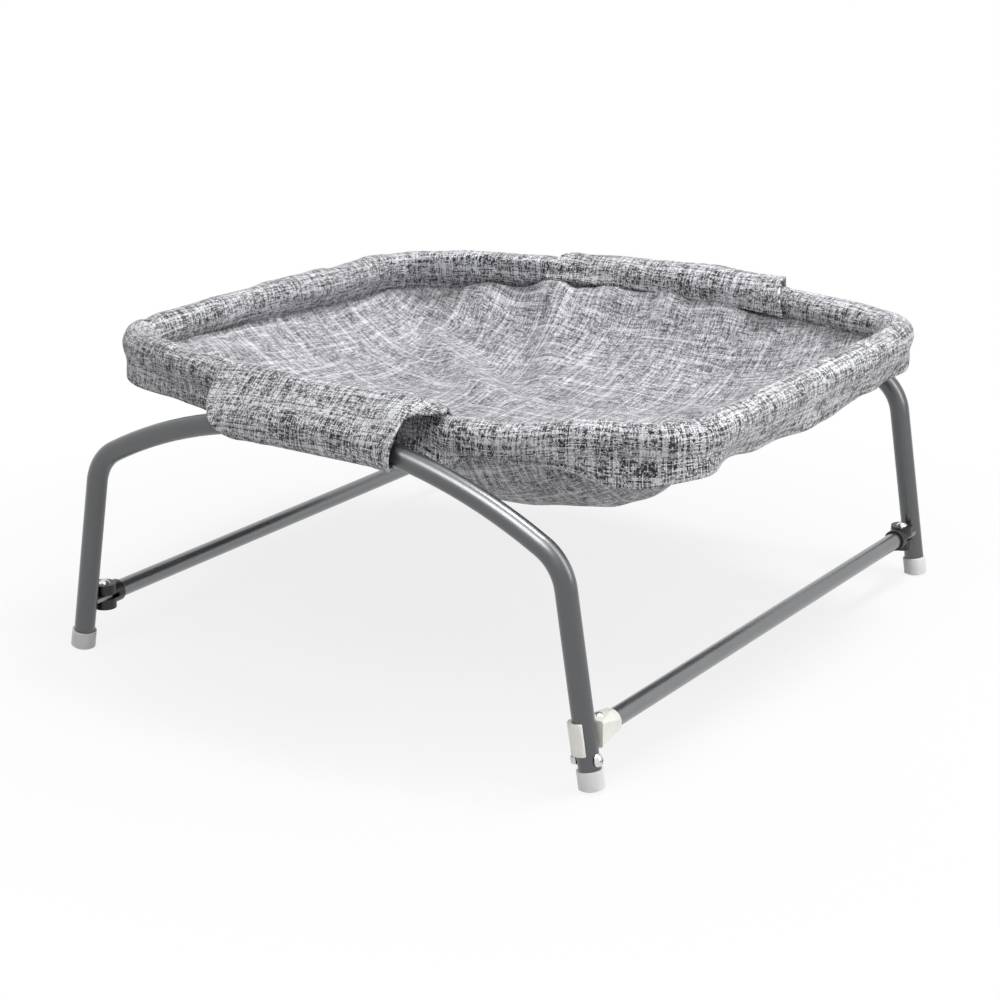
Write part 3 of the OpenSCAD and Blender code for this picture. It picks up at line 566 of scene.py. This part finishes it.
def build_sling():
    """The bed panel, hung in the rim."""
    edge = sling_edge_line()
    r, place = square_to_rim(cells=168)
    turn = np.arctan2(place[..., 1], place[..., 0]) % (2 * math.pi)
    reach = np.interp(turn, edge[0], edge[1], period=2 * math.pi)
    x, y = r * reach * np.cos(turn), r * reach * np.sin(turn)
    z, s, ring = sling_bowl(x, y, edge)
    z = z + smooth(s, 0.0, 0.08) * sling_relief(x, y)
    z = z + edge_rise(x, y, s)
    flat = np.stack([x, y], axis=2)
    z = z + 1.2 * unevenness(31, flat, waves=(70, 170), count=18) * smooth(s, 0.0, 0.14)
    z = z + 0.5 * unevenness(37, flat, waves=(24, 60), count=30) * smooth(s, 0.0, 0.14)
    z = z + 0.8 * unevenness(41, ring, waves=(16, 34), count=30) * np.exp(-(((s - 0.05) / 0.05) ** 2))

    # length of cloth from the middle lines, along x and along y, for the run of the threads
    steps = np.linspace(0, 1, 25)
    uv = np.zeros((*x.shape, 2))
    for axis, way in enumerate((x, y)):
        line = np.stack([x, y])[..., None] * np.ones_like(steps)
        line[axis] *= steps
        height = sling_bowl(*line, edge)[0]
        uv[..., axis] = np.sign(way) * np.hypot(np.diff(line[axis]), np.diff(height)).sum(axis=-1)
    piece = grid_piece("hammock_sling", np.stack([x, y, z], axis=2), uv)
    add_modifier(piece, "SOLIDIFY", thickness=SLING_T * MM, offset=-1)
    return piece


# flaps

def roll_at(x):
    """Distance of the roll's centre from the middle of the cot, at x."""
    return np.sqrt(BOW_R**2 - x * x) - BOW_C


def wrap_line(x, seam):
    """Middle of the flap's cloth across the arch at x, as [outward, up] from the roll's centre."""
    roll = ROLL_R + SOFT_FIT + FLAP_T / 2 + FLAP_EASE
    tube = TUBE_R + SOFT_FIT + FLAP_T / 2
    tube_c = np.array([ARCH_Y - roll_at(x), CROWN_Z - CROWN_R + math.sqrt(CROWN_R**2 - x * x) - ROLL_Z])
    slack_z = min(tube_c[1], FLAP_BOTTOM_Z + FLAP_T / 2 + tube - ROLL_Z)
    slack_c = np.array([tube_c[0], slack_z])
    over = math.atan2(tube_c[1], tube_c[0]) + math.acos((roll - tube) / np.linalg.norm(tube_c))
    onto = math.atan2(seam[1], seam[0]) % (2 * math.pi) - math.acos(min(1, roll / np.linalg.norm(seam)))
    gap = 3 * SOFT_FIT + 2 * TAPE_T + FLAP_T / 2
    close_end = UNDER_TOP + TAPE_START * UNDER_DIR + gap * UNDER_N
    close_low = UNDER_END - TAPE_IN * UNDER_DIR + gap * UNDER_N
    low = -(HEM_R - HEM[1] + SOFT_FIT + FLAP_T / 2 + 1)
    return np.vstack([
        [seam],
        arc((0, 0), roll, onto, over, 60),
        arc(tube_c, tube, over, 0, 30),
        arc(slack_c, tube, 0, math.radians(-100), 30),
        [[HEM[0] + 3, min(low, slack_c[1] - tube + 1)], [HEM[0] - 4, low], close_low, close_end],
    ])


def rounded(line, passes):
    """The line with its corners eased, ends kept."""
    for _ in range(passes):
        line = np.vstack([line[:1], (line[:-2] + 2 * line[1:-1] + line[2:]) / 4, line[-1:]])
    return line


def build_flap(name, seed, ends, seam, visor, rises, turned):
    """A flap over the rim and the arch, its flat size, area and hem lines.

    visor is the end that stands off, how far, and between which shares of the way round;
    rises are places along the flap, heights there and half widths.
    """
    columns, rows = 141, 120
    farthest = 132
    xs = np.linspace(-farthest, farthest, 66)
    lines = np.stack([rounded(even(wrap_line(x, seam), rows), 6) for x in xs])
    length = np.mean([along(line)[-1] for line in lines])
    share = np.linspace(0, 1, rows)
    k = np.linspace(0, 1, columns)[:, None]
    first, last = (rounded(np.interp(share, FLAP_SHARES, end)[:, None], 14)[:, 0] for end in ends)
    wrap = share * length
    field = np.stack([first + k * (last - first), np.broadcast_to(wrap, (columns, rows))], axis=2)
    edge = np.maximum(1 - k / 0.12, (k - 0.88) / 0.12).clip(0, 1)
    x = field[..., 0] + 1.0 * unevenness(seed + 2, field[..., 1:], waves=(30, 90)) * edge
    place = (x - xs[0]) / (xs[1] - xs[0])
    low = np.clip(np.floor(place).astype(int), 0, len(xs) - 2)
    part = (place - low)[..., None]
    m = np.broadcast_to(np.arange(rows), x.shape)
    path = lines[low, m] * (1 - part) + lines[low + 1, m] * part
    across = np.gradient(path, axis=1)
    normal = np.stack([-across[..., 1], across[..., 0]], axis=2)
    normal /= np.linalg.norm(normal, axis=2, keepdims=True)

    free = smooth(share, 0.04, 0.2) * (1 - smooth(share, 0.8, 0.97))
    lift = 0.7 * unevenness(seed, field, waves=(45, 120)) + 0.3 * unevenness(seed + 1, field, waves=(14, 34))
    lift = np.clip((lift + 0.9 * edge) * free, 0, None)
    end, height, low_share, high_share = visor
    stand_off = smooth(share, low_share - 0.08, low_share + 0.08)
    stand_off = stand_off * (1 - smooth(share, high_share - 0.07, high_share + 0.07))
    lift = lift + height * stand_off * smooth(k if end else 1 - k, 0.68, 1.0) ** 1.6
    over_roll = smooth(share, 0.0, 0.08) * (1 - smooth(share, 0.35, 0.5))
    for middle, height, half_width in rises:
        lift = lift + height * bump(x, middle, half_width) * over_roll
    hem_k = FLAP_HEM_W / np.mean(last - first)
    hem_dip = 0.45 * (bump(k, hem_k, 0.008) + bump(k, 1 - hem_k, 0.008))
    path = path + (lift - hem_dip)[..., None] * normal
    points = np.stack([x, -roll_at(x) - path[..., 0], ROLL_Z + path[..., 1]], axis=2)
    outs = np.stack([np.zeros(x.shape), -normal[..., 0], normal[..., 1]], axis=2)
    if turned:
        points[..., :2] *= -1
        outs[..., :2] *= -1
    piece = grid_piece(name, points, field, flip=True)
    add_modifier(piece, "SOLIDIFY", thickness=FLAP_T * MM, offset=0)
    add_modifier(
        piece, "BEVEL", width=0.7 * MM, segments=2, limit_method="ANGLE", angle_limit=math.radians(60)
    )
    hems = []
    for column in (round(hem_k * (columns - 1)), round((1 - hem_k) * (columns - 1))):
        hems.append((points[column] + FLAP_T / 2 * outs[column], outs[column]))
    area = np.mean(last - first) * length
    return piece, (np.max(last - first) * MM, length * MM), area * MM * MM, hems


def build_tape(name, gap, turned):
    """A strip of closing tape between the flap's end and the underside of the rim."""
    span = 2 * math.asin(TAPE_L / 2 / BOW_R)
    start = UNDER_TOP + TAPE_START * UNDER_DIR + gap * UNDER_N
    ease = 0.35
    w, t = TAPE_W, TAPE_T
    outline = [
        (ease, 0), (w - ease, 0), (w, ease), (w, t - ease),
        (w - ease, t), (ease, t), (0, t - ease), (0, ease),
    ]
    section = np.array([start + d * UNDER_DIR + h * UNDER_N for d, h in outline])
    rows = 48
    a = np.linspace(1.5 * math.pi - span / 2, 1.5 * math.pi + span / 2, rows)
    reach = BOW_R + section[:, 0]
    points = np.stack([
        reach[None] * np.cos(a)[:, None],
        BOW_C + reach[None] * np.sin(a)[:, None],
        np.broadcast_to(ROLL_Z + section[:, 1], (rows, len(section))),
    ], axis=2)
    if turned:
        points[..., :2] *= -1
    return mesh_piece(name, points.reshape(-1, 3), tube_faces(rows, len(section)))


# materials

class Shader:
    """A material with a Principled surface, and short ways to add and link its nodes."""

    def __init__(self, name, **constants):
        self.material = bpy.data.materials.new(name)
        self.material.use_nodes = True
        self.tree = self.material.node_tree
        self.surface = self.tree.nodes["Principled BSDF"]
        for key, value in constants.items():
            self.surface.inputs[key.replace("_", " ")].default_value = value

    def node(self, kind, **settings):
        made = self.tree.nodes.new(kind)
        for key, value in settings.items():
            setattr(made, key, value)
        return made

    def put(self, value, socket):
        if isinstance(value, bpy.types.NodeSocket):
            self.tree.links.new(value, socket)
        else:
            socket.default_value = value

    def math(self, operation, *values):
        made = self.node("ShaderNodeMath", operation=operation)
        for value, socket in zip(values, made.inputs):
            self.put(value, socket)
        return made.outputs[0]

    def vector(self, x, y, z=0.0):
        made = self.node("ShaderNodeCombineXYZ")
        for value, socket in zip((x, y, z), made.inputs):
            self.put(value, socket)
        return made.outputs[0]

    def place(self):
        """The point's place on the object, in metres."""
        return self.node("ShaderNodeTexCoord").outputs["Object"]

    def noise(self, vector, scale, detail):
        made = self.node("ShaderNodeTexNoise")
        self.put(vector, made.inputs["Vector"])
        made.inputs["Scale"].default_value = scale
        made.inputs["Detail"].default_value = detail
        return made.outputs["Fac"]

    def ramp(self, value, *stops):
        made = self.node("ShaderNodeValToRGB")
        self.put(value, made.inputs[0])
        elements = made.color_ramp.elements
        while len(elements) < len(stops):
            elements.new(1.0)
        for element, (position, colour) in zip(elements, stops):
            element.position = position
            element.color = (*colour, 1.0)
        return made.outputs[0]

    def span(self, value, low, high, to_low, to_high):
        made = self.node("ShaderNodeMapRange")
        for item, socket in zip((value, low, high, to_low, to_high), made.inputs):
            self.put(item, socket)
        return made.outputs[0]

    def mix(self, share, first, second, blend="MIX"):
        made = self.node("ShaderNodeMix", data_type="RGBA", blend_type=blend)
        self.put(share, made.inputs[0])
        self.put(first, made.inputs[6])
        self.put(second, made.inputs[7])
        return made.outputs[2]

    def relief(self, height, distance, strength):
        made = self.node("ShaderNodeBump")
        made.inputs["Strength"].default_value = strength
        made.inputs["Distance"].default_value = distance
        self.put(height, made.inputs["Height"])
        self.put(made.outputs[0], self.surface.inputs["Normal"])

    def to(self, value, name):
        self.put(value, self.surface.inputs[name])


def tinted(value, tint):
    """A grey of the given value with a tint."""
    return tuple(value * t for t in tint)


def linen_material(name, thread_mm, white, contrast):
    """Plain-woven slub yarn: white, grey and near-black lengths in both directions, with painted shade in the
    weave's hollows.
    """
    m = Shader(name, Roughness=0.92, Specular_IOR_Level=0.22, Sheen_Weight=0.2, Sheen_Roughness=0.45)
    uv = m.node("ShaderNodeUVMap", uv_map="cloth").outputs[0]
    split = m.node("ShaderNodeSeparateXYZ")
    m.put(uv, split.inputs[0])
    per = 1000 / thread_mm
    sway = m.math("SUBTRACT", m.noise(uv, scale=90, detail=2), 0.5)
    a = m.math("MULTIPLY_ADD", split.outputs[0], per, m.math("MULTIPLY", sway, 1.6))
    b = m.math("MULTIPLY_ADD", split.outputs[1], per, m.math("MULTIPLY", sway, -1.6))
    i = m.math("FLOOR", a)
    j = m.math("FLOOR", b)
    across_a = m.math("COSINE", m.math("MULTIPLY", m.math("SUBTRACT", m.math("FRACT", a), 0.5), math.pi))
    across_b = m.math("COSINE", m.math("MULTIPLY", m.math("SUBTRACT", m.math("FRACT", b), 0.5), math.pi))
    odd = m.math("SUBTRACT", 1.0, m.math("MULTIPLY", m.math("FLOORED_MODULO", m.math("ADD", i, j), 2.0), 2.0))
    warp_rise = m.math("MULTIPLY_ADD", m.math("MULTIPLY", odd, across_b), 0.5, 0.5)
    weft_rise = m.math("MULTIPLY_ADD", m.math("MULTIPLY", odd, across_a), -0.5, 0.5)
    warp_h = m.math("MULTIPLY", across_a, warp_rise)
    weft_h = m.math("MULTIPLY", across_b, weft_rise)
    weft_on_top = m.math("GREATER_THAN", weft_h, warp_h)
    height = m.math("MAXIMUM", warp_h, weft_h)

    speck = m.node("ShaderNodeTexWhiteNoise", noise_dimensions="2D")
    m.put(m.vector(i, j), speck.inputs["Vector"])

    def lengths(thread, run, lane, long, apart):
        """Noise that runs on along a thread for about long threads' widths."""
        place = m.vector(m.math("MULTIPLY", run, 1 / long), m.math("MULTIPLY", thread, apart), lane)
        return m.noise(place, scale=1.0, detail=1.5)

    def yarn(thread, run, lane):
        """Colour along a thread: flecks, a shade of its own, one shared with its neighbours, and slubs."""
        own = m.node("ShaderNodeTexWhiteNoise", noise_dimensions="1D")
        m.put(m.math("ADD", thread, lane), own.inputs["W"])
        tone = m.math("MULTIPLY_ADD", m.math("SUBTRACT", speck.outputs[0], 0.5), 0.3, 0.5)
        parts = (
            (lengths(thread, run, lane, 7.0, 7.31), 1.5),
            (lengths(thread, run, lane + 40, 40.0, 3.7), 1.0),
            (lengths(thread, run, lane + 80, 60.0, 0.17), 0.3),
            (own.outputs[0], 0.2),
        )
        for part, weight in parts:
            tone = m.math("MULTIPLY_ADD", m.math("SUBTRACT", part, 0.5), weight, tone)
        pair = m.math("FLOOR", m.math("MULTIPLY", thread, 0.5))
        slub = m.span(lengths(pair, run, lane + 120, 90.0, 5.13), 0.6, 0.66, 0.0, 0.6)
        tone = m.math("ADD", slub, tone)
        tone = m.span(tone, 0.52 - 0.3 / contrast, 0.52 + 0.26 / contrast, 0.0, 1.0)
        return m.ramp(
            tone,
            (0.0, tinted(0.03 * white, (1.0, 1.0, 1.08))),
            (0.36, tinted(0.24 * white, (1.0, 1.0, 1.07))),
            (0.62, tinted(0.56 * white, (0.99, 0.99, 1.05))),
            (0.95, tinted(0.94 * white, (0.985, 0.99, 1.03))),
        )

    share_on_top = m.span(weft_on_top, 0.0, 1.0, 0.25, 0.75)
    colour = m.mix(share_on_top, yarn(i, b, 3.0), yarn(j, a, 11.0))
    # painted shade: the weave's colour darkens in the hollows between the threads, following the relief;
    # cloud is a random tone
    painted_hollow_shade = m.span(height, 0.1, 0.8, 0.45, 1.0)
    cloud = m.span(m.noise(uv, scale=32, detail=3), 0.3, 0.7, 0.9, 1.08)
    shade = m.math("MULTIPLY", painted_hollow_shade, cloud)
    m.to(m.mix(1.0, colour, m.vector(shade, shade, shade), "MULTIPLY"), "Base Color")
    fuzz = m.noise(uv, scale=2600, detail=2)
    m.relief(m.math("MULTIPLY_ADD", fuzz, 0.35, height), distance=0.35 * MM, strength=0.9)
    return m.material


def thread_material(name):
    """Twisted sewing thread, with painted shade in the grooves of its twist."""
    m = Shader(name, Roughness=0.75, Sheen_Weight=0.2)
    place = m.place()
    twist = m.noise(place, scale=1800, detail=1)
    # painted shade: the thread's colour is darker in the grooves of the twist and lighter on its ridges,
    # following the relief
    m.to(m.ramp(twist, (0.3, (0.2, 0.2, 0.21)), (0.7, (0.48, 0.48, 0.5))), "Base Color")
    m.relief(twist, distance=0.1 * MM, strength=0.7)
    return m.material


def paint_material(name, colour, roughness):
    """Metallic paint on tube: very fine flake, faint orange peel and rubbed patches."""
    m = Shader(name, Metallic=0.9, Coat_Weight=0.5, Coat_Roughness=0.16)
    place = m.place()
    flake = m.noise(place, scale=6000, detail=1)
    patch = m.noise(place, scale=24, detail=4)
    tone = m.math("ADD", m.span(flake, 0.3, 0.7, 0.96, 1.04), m.span(patch, 0.3, 0.7, -0.04, 0.04))
    m.to(m.mix(1.0, (*colour, 1.0), m.vector(tone, tone, tone), "MULTIPLY"), "Base Color")
    scuff = m.noise(place, scale=320, detail=3)
    wear_and_painted_relief_shade = m.span(patch, 0.4, 0.7, 0, 0.03)
    m.to(m.math("ADD", m.span(scuff, 0.35, 0.7, roughness - 0.03, roughness + 0.03), wear_and_painted_relief_shade), "Roughness")
    m.relief(m.noise(place, scale=300, detail=2), distance=0.012 * MM, strength=0.3)
    return m.material


def plastic_material(name, colour, roughness, translucent=0.0, grain=0.06):
    """Moulded plastic: fine die texture and slightly uneven gloss."""
    m = Shader(name, Subsurface_Weight=translucent, Subsurface_Scale=0.004, Subsurface_Radius=(1.0, 1.0, 1.0))
    place = m.place()
    cloud = m.span(m.noise(place, scale=55, detail=3), 0.3, 0.7, 0.94, 1.05)
    m.to(m.mix(1.0, (*colour, 1.0), m.vector(cloud, cloud, cloud), "MULTIPLY"), "Base Color")
    gloss = m.noise(place, scale=180, detail=3)
    m.to(m.span(gloss, 0.3, 0.7, roughness - 0.06, roughness + 0.08), "Roughness")
    m.relief(m.noise(place, scale=900, detail=2), distance=grain * MM, strength=0.6)
    return m.material


def steel_material(name, colour, roughness):
    """Bare or plated steel with fine scratches."""
    m = Shader(name, Metallic=1.0)
    place = m.place()
    stain = m.span(m.noise(place, scale=120, detail=4), 0.3, 0.7, 0.85, 1.05)
    m.to(m.mix(1.0, (*colour, 1.0), m.vector(stain, stain, stain), "MULTIPLY"), "Base Color")
    scratches = m.noise(place, scale=700, detail=3)
    m.to(m.span(scratches, 0.3, 0.7, roughness - 0.06, roughness + 0.1), "Roughness")
    m.relief(m.noise(place, scale=1500, detail=2), distance=0.03 * MM, strength=0.4)
    return m.material


def foam_material(name):
    """Open-celled foam, with painted shade in the pits of its cells."""
    m = Shader(name, Roughness=0.95)
    place = m.place()
    cell = m.node("ShaderNodeTexVoronoi")
    m.put(place, cell.inputs["Vector"])
    cell.inputs["Scale"].default_value = 900
    # painted shade: darker in the pits of the cells, following the relief
    m.to(m.ramp(cell.outputs["Distance"], (0.1, (0.62, 0.6, 0.52)), (0.6, (0.9, 0.88, 0.8))), "Base Color")
    m.relief(cell.outputs["Distance"], distance=0.4 * MM, strength=0.7)
    return m.material


def tape_material(name):
    """Woven closing tape: rows of small loops, with painted shade in the pits between them."""
    m = Shader(name, Roughness=0.9, Sheen_Weight=0.3)
    place = m.place()
    cell = m.node("ShaderNodeTexVoronoi")
    m.put(place, cell.inputs["Vector"])
    cell.inputs["Scale"].default_value = 1300
    black, wear_and_painted_relief_shade = (0.02, 0.02, 0.022), (0.16, 0.16, 0.17)
    # painted shade: black in the pits between the loops, grey on their raised edges, following the relief
    m.to(m.ramp(cell.outputs["Distance"], (0.1, black), (0.7, wear_and_painted_relief_shade)), "Base Color")
    m.relief(cell.outputs["Distance"], distance=0.5 * MM, strength=0.9)
    return m.material


def dress(piece, material):
    """Give a piece one material."""
    piece.data.materials.clear()
    piece.data.materials.append(material)


# hammock

rim_linen = linen_material("rim_linen", thread_mm=0.88, white=1.07, contrast=2.2)
sling_linen = linen_material("sling_linen", thread_mm=1.05, white=1.03, contrast=0.75)
rim, rim_seam = build_rim_cover()
foam = build_rim_foam()
sling = build_sling()
front_flap, front_flat, front_area, front_hems = build_flap(
    "hammock_flap_front",
    seed=51,
    ends=FRONT_FLAP_ENDS,
    seam=FRONT_FLAP_SEAM,
    visor=(1, 8.0, 0.27, 0.63),
    rises=[(-108, -2.0, 26), (100, -8.5, 30)],
    turned=False,
)
rear_flap, rear_flat, rear_area, rear_hems = build_flap(
    "hammock_flap_rear",
    seed=67,
    ends=REAR_FLAP_ENDS,
    seam=REAR_FLAP_SEAM,
    visor=(0, 4.0, -0.1, 0.58),
    rises=[(100, -3.0, 60), (-45, 3.6, 70)],
    turned=True,
)
stitches = build_stitches("hammock_stitches", [rim_seam, *front_hems, *rear_hems])
tapes = {}
for side, turned in (("front", False), ("rear", True)):
    tapes[f"{side}_loop_tape"] = build_tape(f"{side}_tape_loops", SOFT_FIT, turned)
    tapes[f"{side}_hook_tape"] = build_tape(f"{side}_tape_hooks", 2 * SOFT_FIT + TAPE_T, turned)

for piece in (rim, front_flap, rear_flap):
    dress(piece, rim_linen)
dress(sling, sling_linen)
dress(stitches, thread_material("sewing_thread"))
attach(stitches, "frame")
dress(foam, foam_material("rim_foam"))
tape_cloth = tape_material("closing_tape")
for node, piece in tapes.items():
    dress(piece, tape_cloth)
    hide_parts(node)
    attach(piece, "frame")
for piece, node in (
    (rim, "rim_cover"),
    (foam, "rim_foam"),
    (sling, "sling"),
    (front_flap, "front_flap"),
    (rear_flap, "rear_flap"),
):
    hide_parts(node)
    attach(piece, "frame")

# frame and fittings

finishes = {
    "arch_tube": paint_material("arch_paint", (0.105, 0.108, 0.111), 0.36),
    "crossbar": paint_material("bar_paint", (0.2, 0.205, 0.21), 0.3),
    "foot_cap": plastic_material("cap_plastic", (0.8, 0.8, 0.79), 0.36, translucent=0.5),
    "snap_clip": plastic_material("clip_plastic", (0.9, 0.89, 0.83), 0.38, translucent=0.3),
    "pivot_fitting": plastic_material("black_plastic", (0.008, 0.008, 0.009), 0.34, grain=0.04),
    "pivot_lug": steel_material("lug_steel", (0.3, 0.3, 0.31), 0.4),
    "hinge_pin": steel_material("pin_steel", (0.72, 0.72, 0.72), 0.22),
    "clip_rivet": steel_material("rivet_steel", (0.75, 0.75, 0.75), 0.2),
    "stop_bolt": steel_material("bolt_steel", (0.75, 0.75, 0.76), 0.18),
    "stop_nut": steel_material("nut_steel", (0.6, 0.6, 0.62), 0.3),
    "rim_hoop": steel_material("hoop_steel", (0.5, 0.5, 0.52), 0.3),
    "hoop_sleeve": steel_material("sleeve_steel", (0.55, 0.55, 0.57), 0.35),
}
for name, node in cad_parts.items():
    for ending, material in finishes.items():
        if name.endswith(ending):
            dress(node, material)
    if name.endswith(("snap_clip", "pivot_fitting", "foot_cap", "pivot_lug")):
        add_modifier(node, "WELD", merge_threshold=0.01 * MM)
        add_modifier(
            node, "BEVEL", width=0.7 * MM, segments=3, limit_method="ANGLE", angle_limit=math.radians(40)
        )


# floor, light and camera

def background_rays(tree):
    """1 for rays that show the background: to the camera, mirrored in gloss or through something clear."""
    path = tree.nodes.new("ShaderNodeLightPath")
    seen = path.outputs["Is Camera Ray"]
    for kind in ("Is Glossy Ray", "Is Transmission Ray"):
        either = tree.nodes.new("ShaderNodeMath")
        either.operation = "MAXIMUM"
        tree.links.new(seen, either.inputs[0])
        tree.links.new(path.outputs[kind], either.inputs[1])
        seen = either.outputs[0]
    return seen


def build_stage():
    """A pale floor, whiter in the background away from the object, which keeps the object's shadow."""
    half = 9.0
    corners = np.array([[-half, -half, 0], [half, -half, 0], [half, half, 0], [-half, half, 0]])
    floor = mesh_piece("floor", corners / MM, [(0, 1, 2, 3)])
    m = Shader("floor", Base_Color=(0.66, 0.66, 0.66, 1.0), Roughness=0.9, Specular_IOR_Level=0.1)
    place = m.node("ShaderNodeVectorMath", operation="LENGTH")
    m.put(m.place(), place.inputs[0])
    near, far = 0.26, 0.62
    whiteness = m.span(place.outputs["Value"], near, far, 0.82, 1.0)
    white = m.node("ShaderNodeEmission")
    mixed = m.node("ShaderNodeMixShader")
    m.put(m.math("MULTIPLY", whiteness, background_rays(m.tree)), mixed.inputs[0])
    m.put(m.surface.outputs[0], mixed.inputs[1])
    m.put(white.outputs[0], mixed.inputs[2])
    m.put(mixed.outputs[0], m.tree.nodes["Material Output"].inputs["Surface"])
    dress(floor, m.material)


def build_world(fill):
    """White behind the object, and an even light of the given strength on it."""
    world = bpy.data.worlds.new("studio")
    bpy.context.scene.world = world
    world.use_nodes = True
    tree = world.node_tree
    background = tree.nodes["Background"]
    strength = tree.nodes.new("ShaderNodeMapRange")
    tree.links.new(background_rays(tree), strength.inputs["Value"])
    strength.inputs["To Min"].default_value = fill
    strength.inputs["To Max"].default_value = 1.0
    tree.links.new(strength.outputs[0], background.inputs["Strength"])
    background.inputs["Color"].default_value = (1.0, 1.0, 1.0, 1.0)


def build_lamp(name, place, target, size, power, gloss_only=False):
    """A rectangular lamp; with gloss_only, a card that only shows as a reflection."""
    data = bpy.data.lights.new(name, "AREA")
    data.shape = "RECTANGLE"
    data.size, data.size_y = size
    data.energy = power
    lamp = bpy.data.objects.new(name, data)
    lamp.visible_diffuse = not gloss_only
    lamp.location = place
    lamp.rotation_euler = (Vector(target) - Vector(place)).to_track_quat("-Z", "Y").to_euler()
    bpy.context.scene.collection.objects.link(lamp)


def build_camera():
    """The photograph's viewpoint."""
    place = (1.02717, -1.57223, 0.71230)
    azimuth, elevation, roll = math.radians(33.60), math.radians(18.24), 0.005737
    ahead = Vector((
        -math.sin(azimuth) * math.cos(elevation),
        math.cos(azimuth) * math.cos(elevation),
        -math.sin(elevation),
    ))
    level = Vector((math.cos(azimuth), math.sin(azimuth), 0))
    down = ahead.cross(level)
    right = math.cos(roll) * level - math.sin(roll) * down
    down = math.sin(roll) * level + math.cos(roll) * down
    data = bpy.data.cameras.new("camera")
    data.sensor_width = 36.0
    data.lens = 87.98
    camera = bpy.data.objects.new("camera", data)
    axes = Matrix((right, -down, -ahead)).transposed().to_4x4()
    camera.matrix_world = Matrix.Translation(place) @ axes
    bpy.context.scene.collection.objects.link(camera)
    bpy.context.scene.camera = camera


build_stage()
build_world(fill=0.2)
middle = (0, 0, 0.2)
card_place = (0.15, -1.25, 1.9)
build_lamp("top_light", (0.35, 0.5, 2.3), middle, size=(0.6, 0.6), power=36)
build_lamp("key_light", (1.15, 0.2, 0.95), (0.1, 0, 0.2), size=(0.5, 1.3), power=10)
build_lamp("front_card", card_place, middle, size=(1.3, 0.9), power=17)
build_lamp("gloss_card", card_place, middle, size=(1.0, 0.4), power=40, gloss_only=True)
build_camera()
bpy.context.scene.view_settings.view_transform = "Standard"
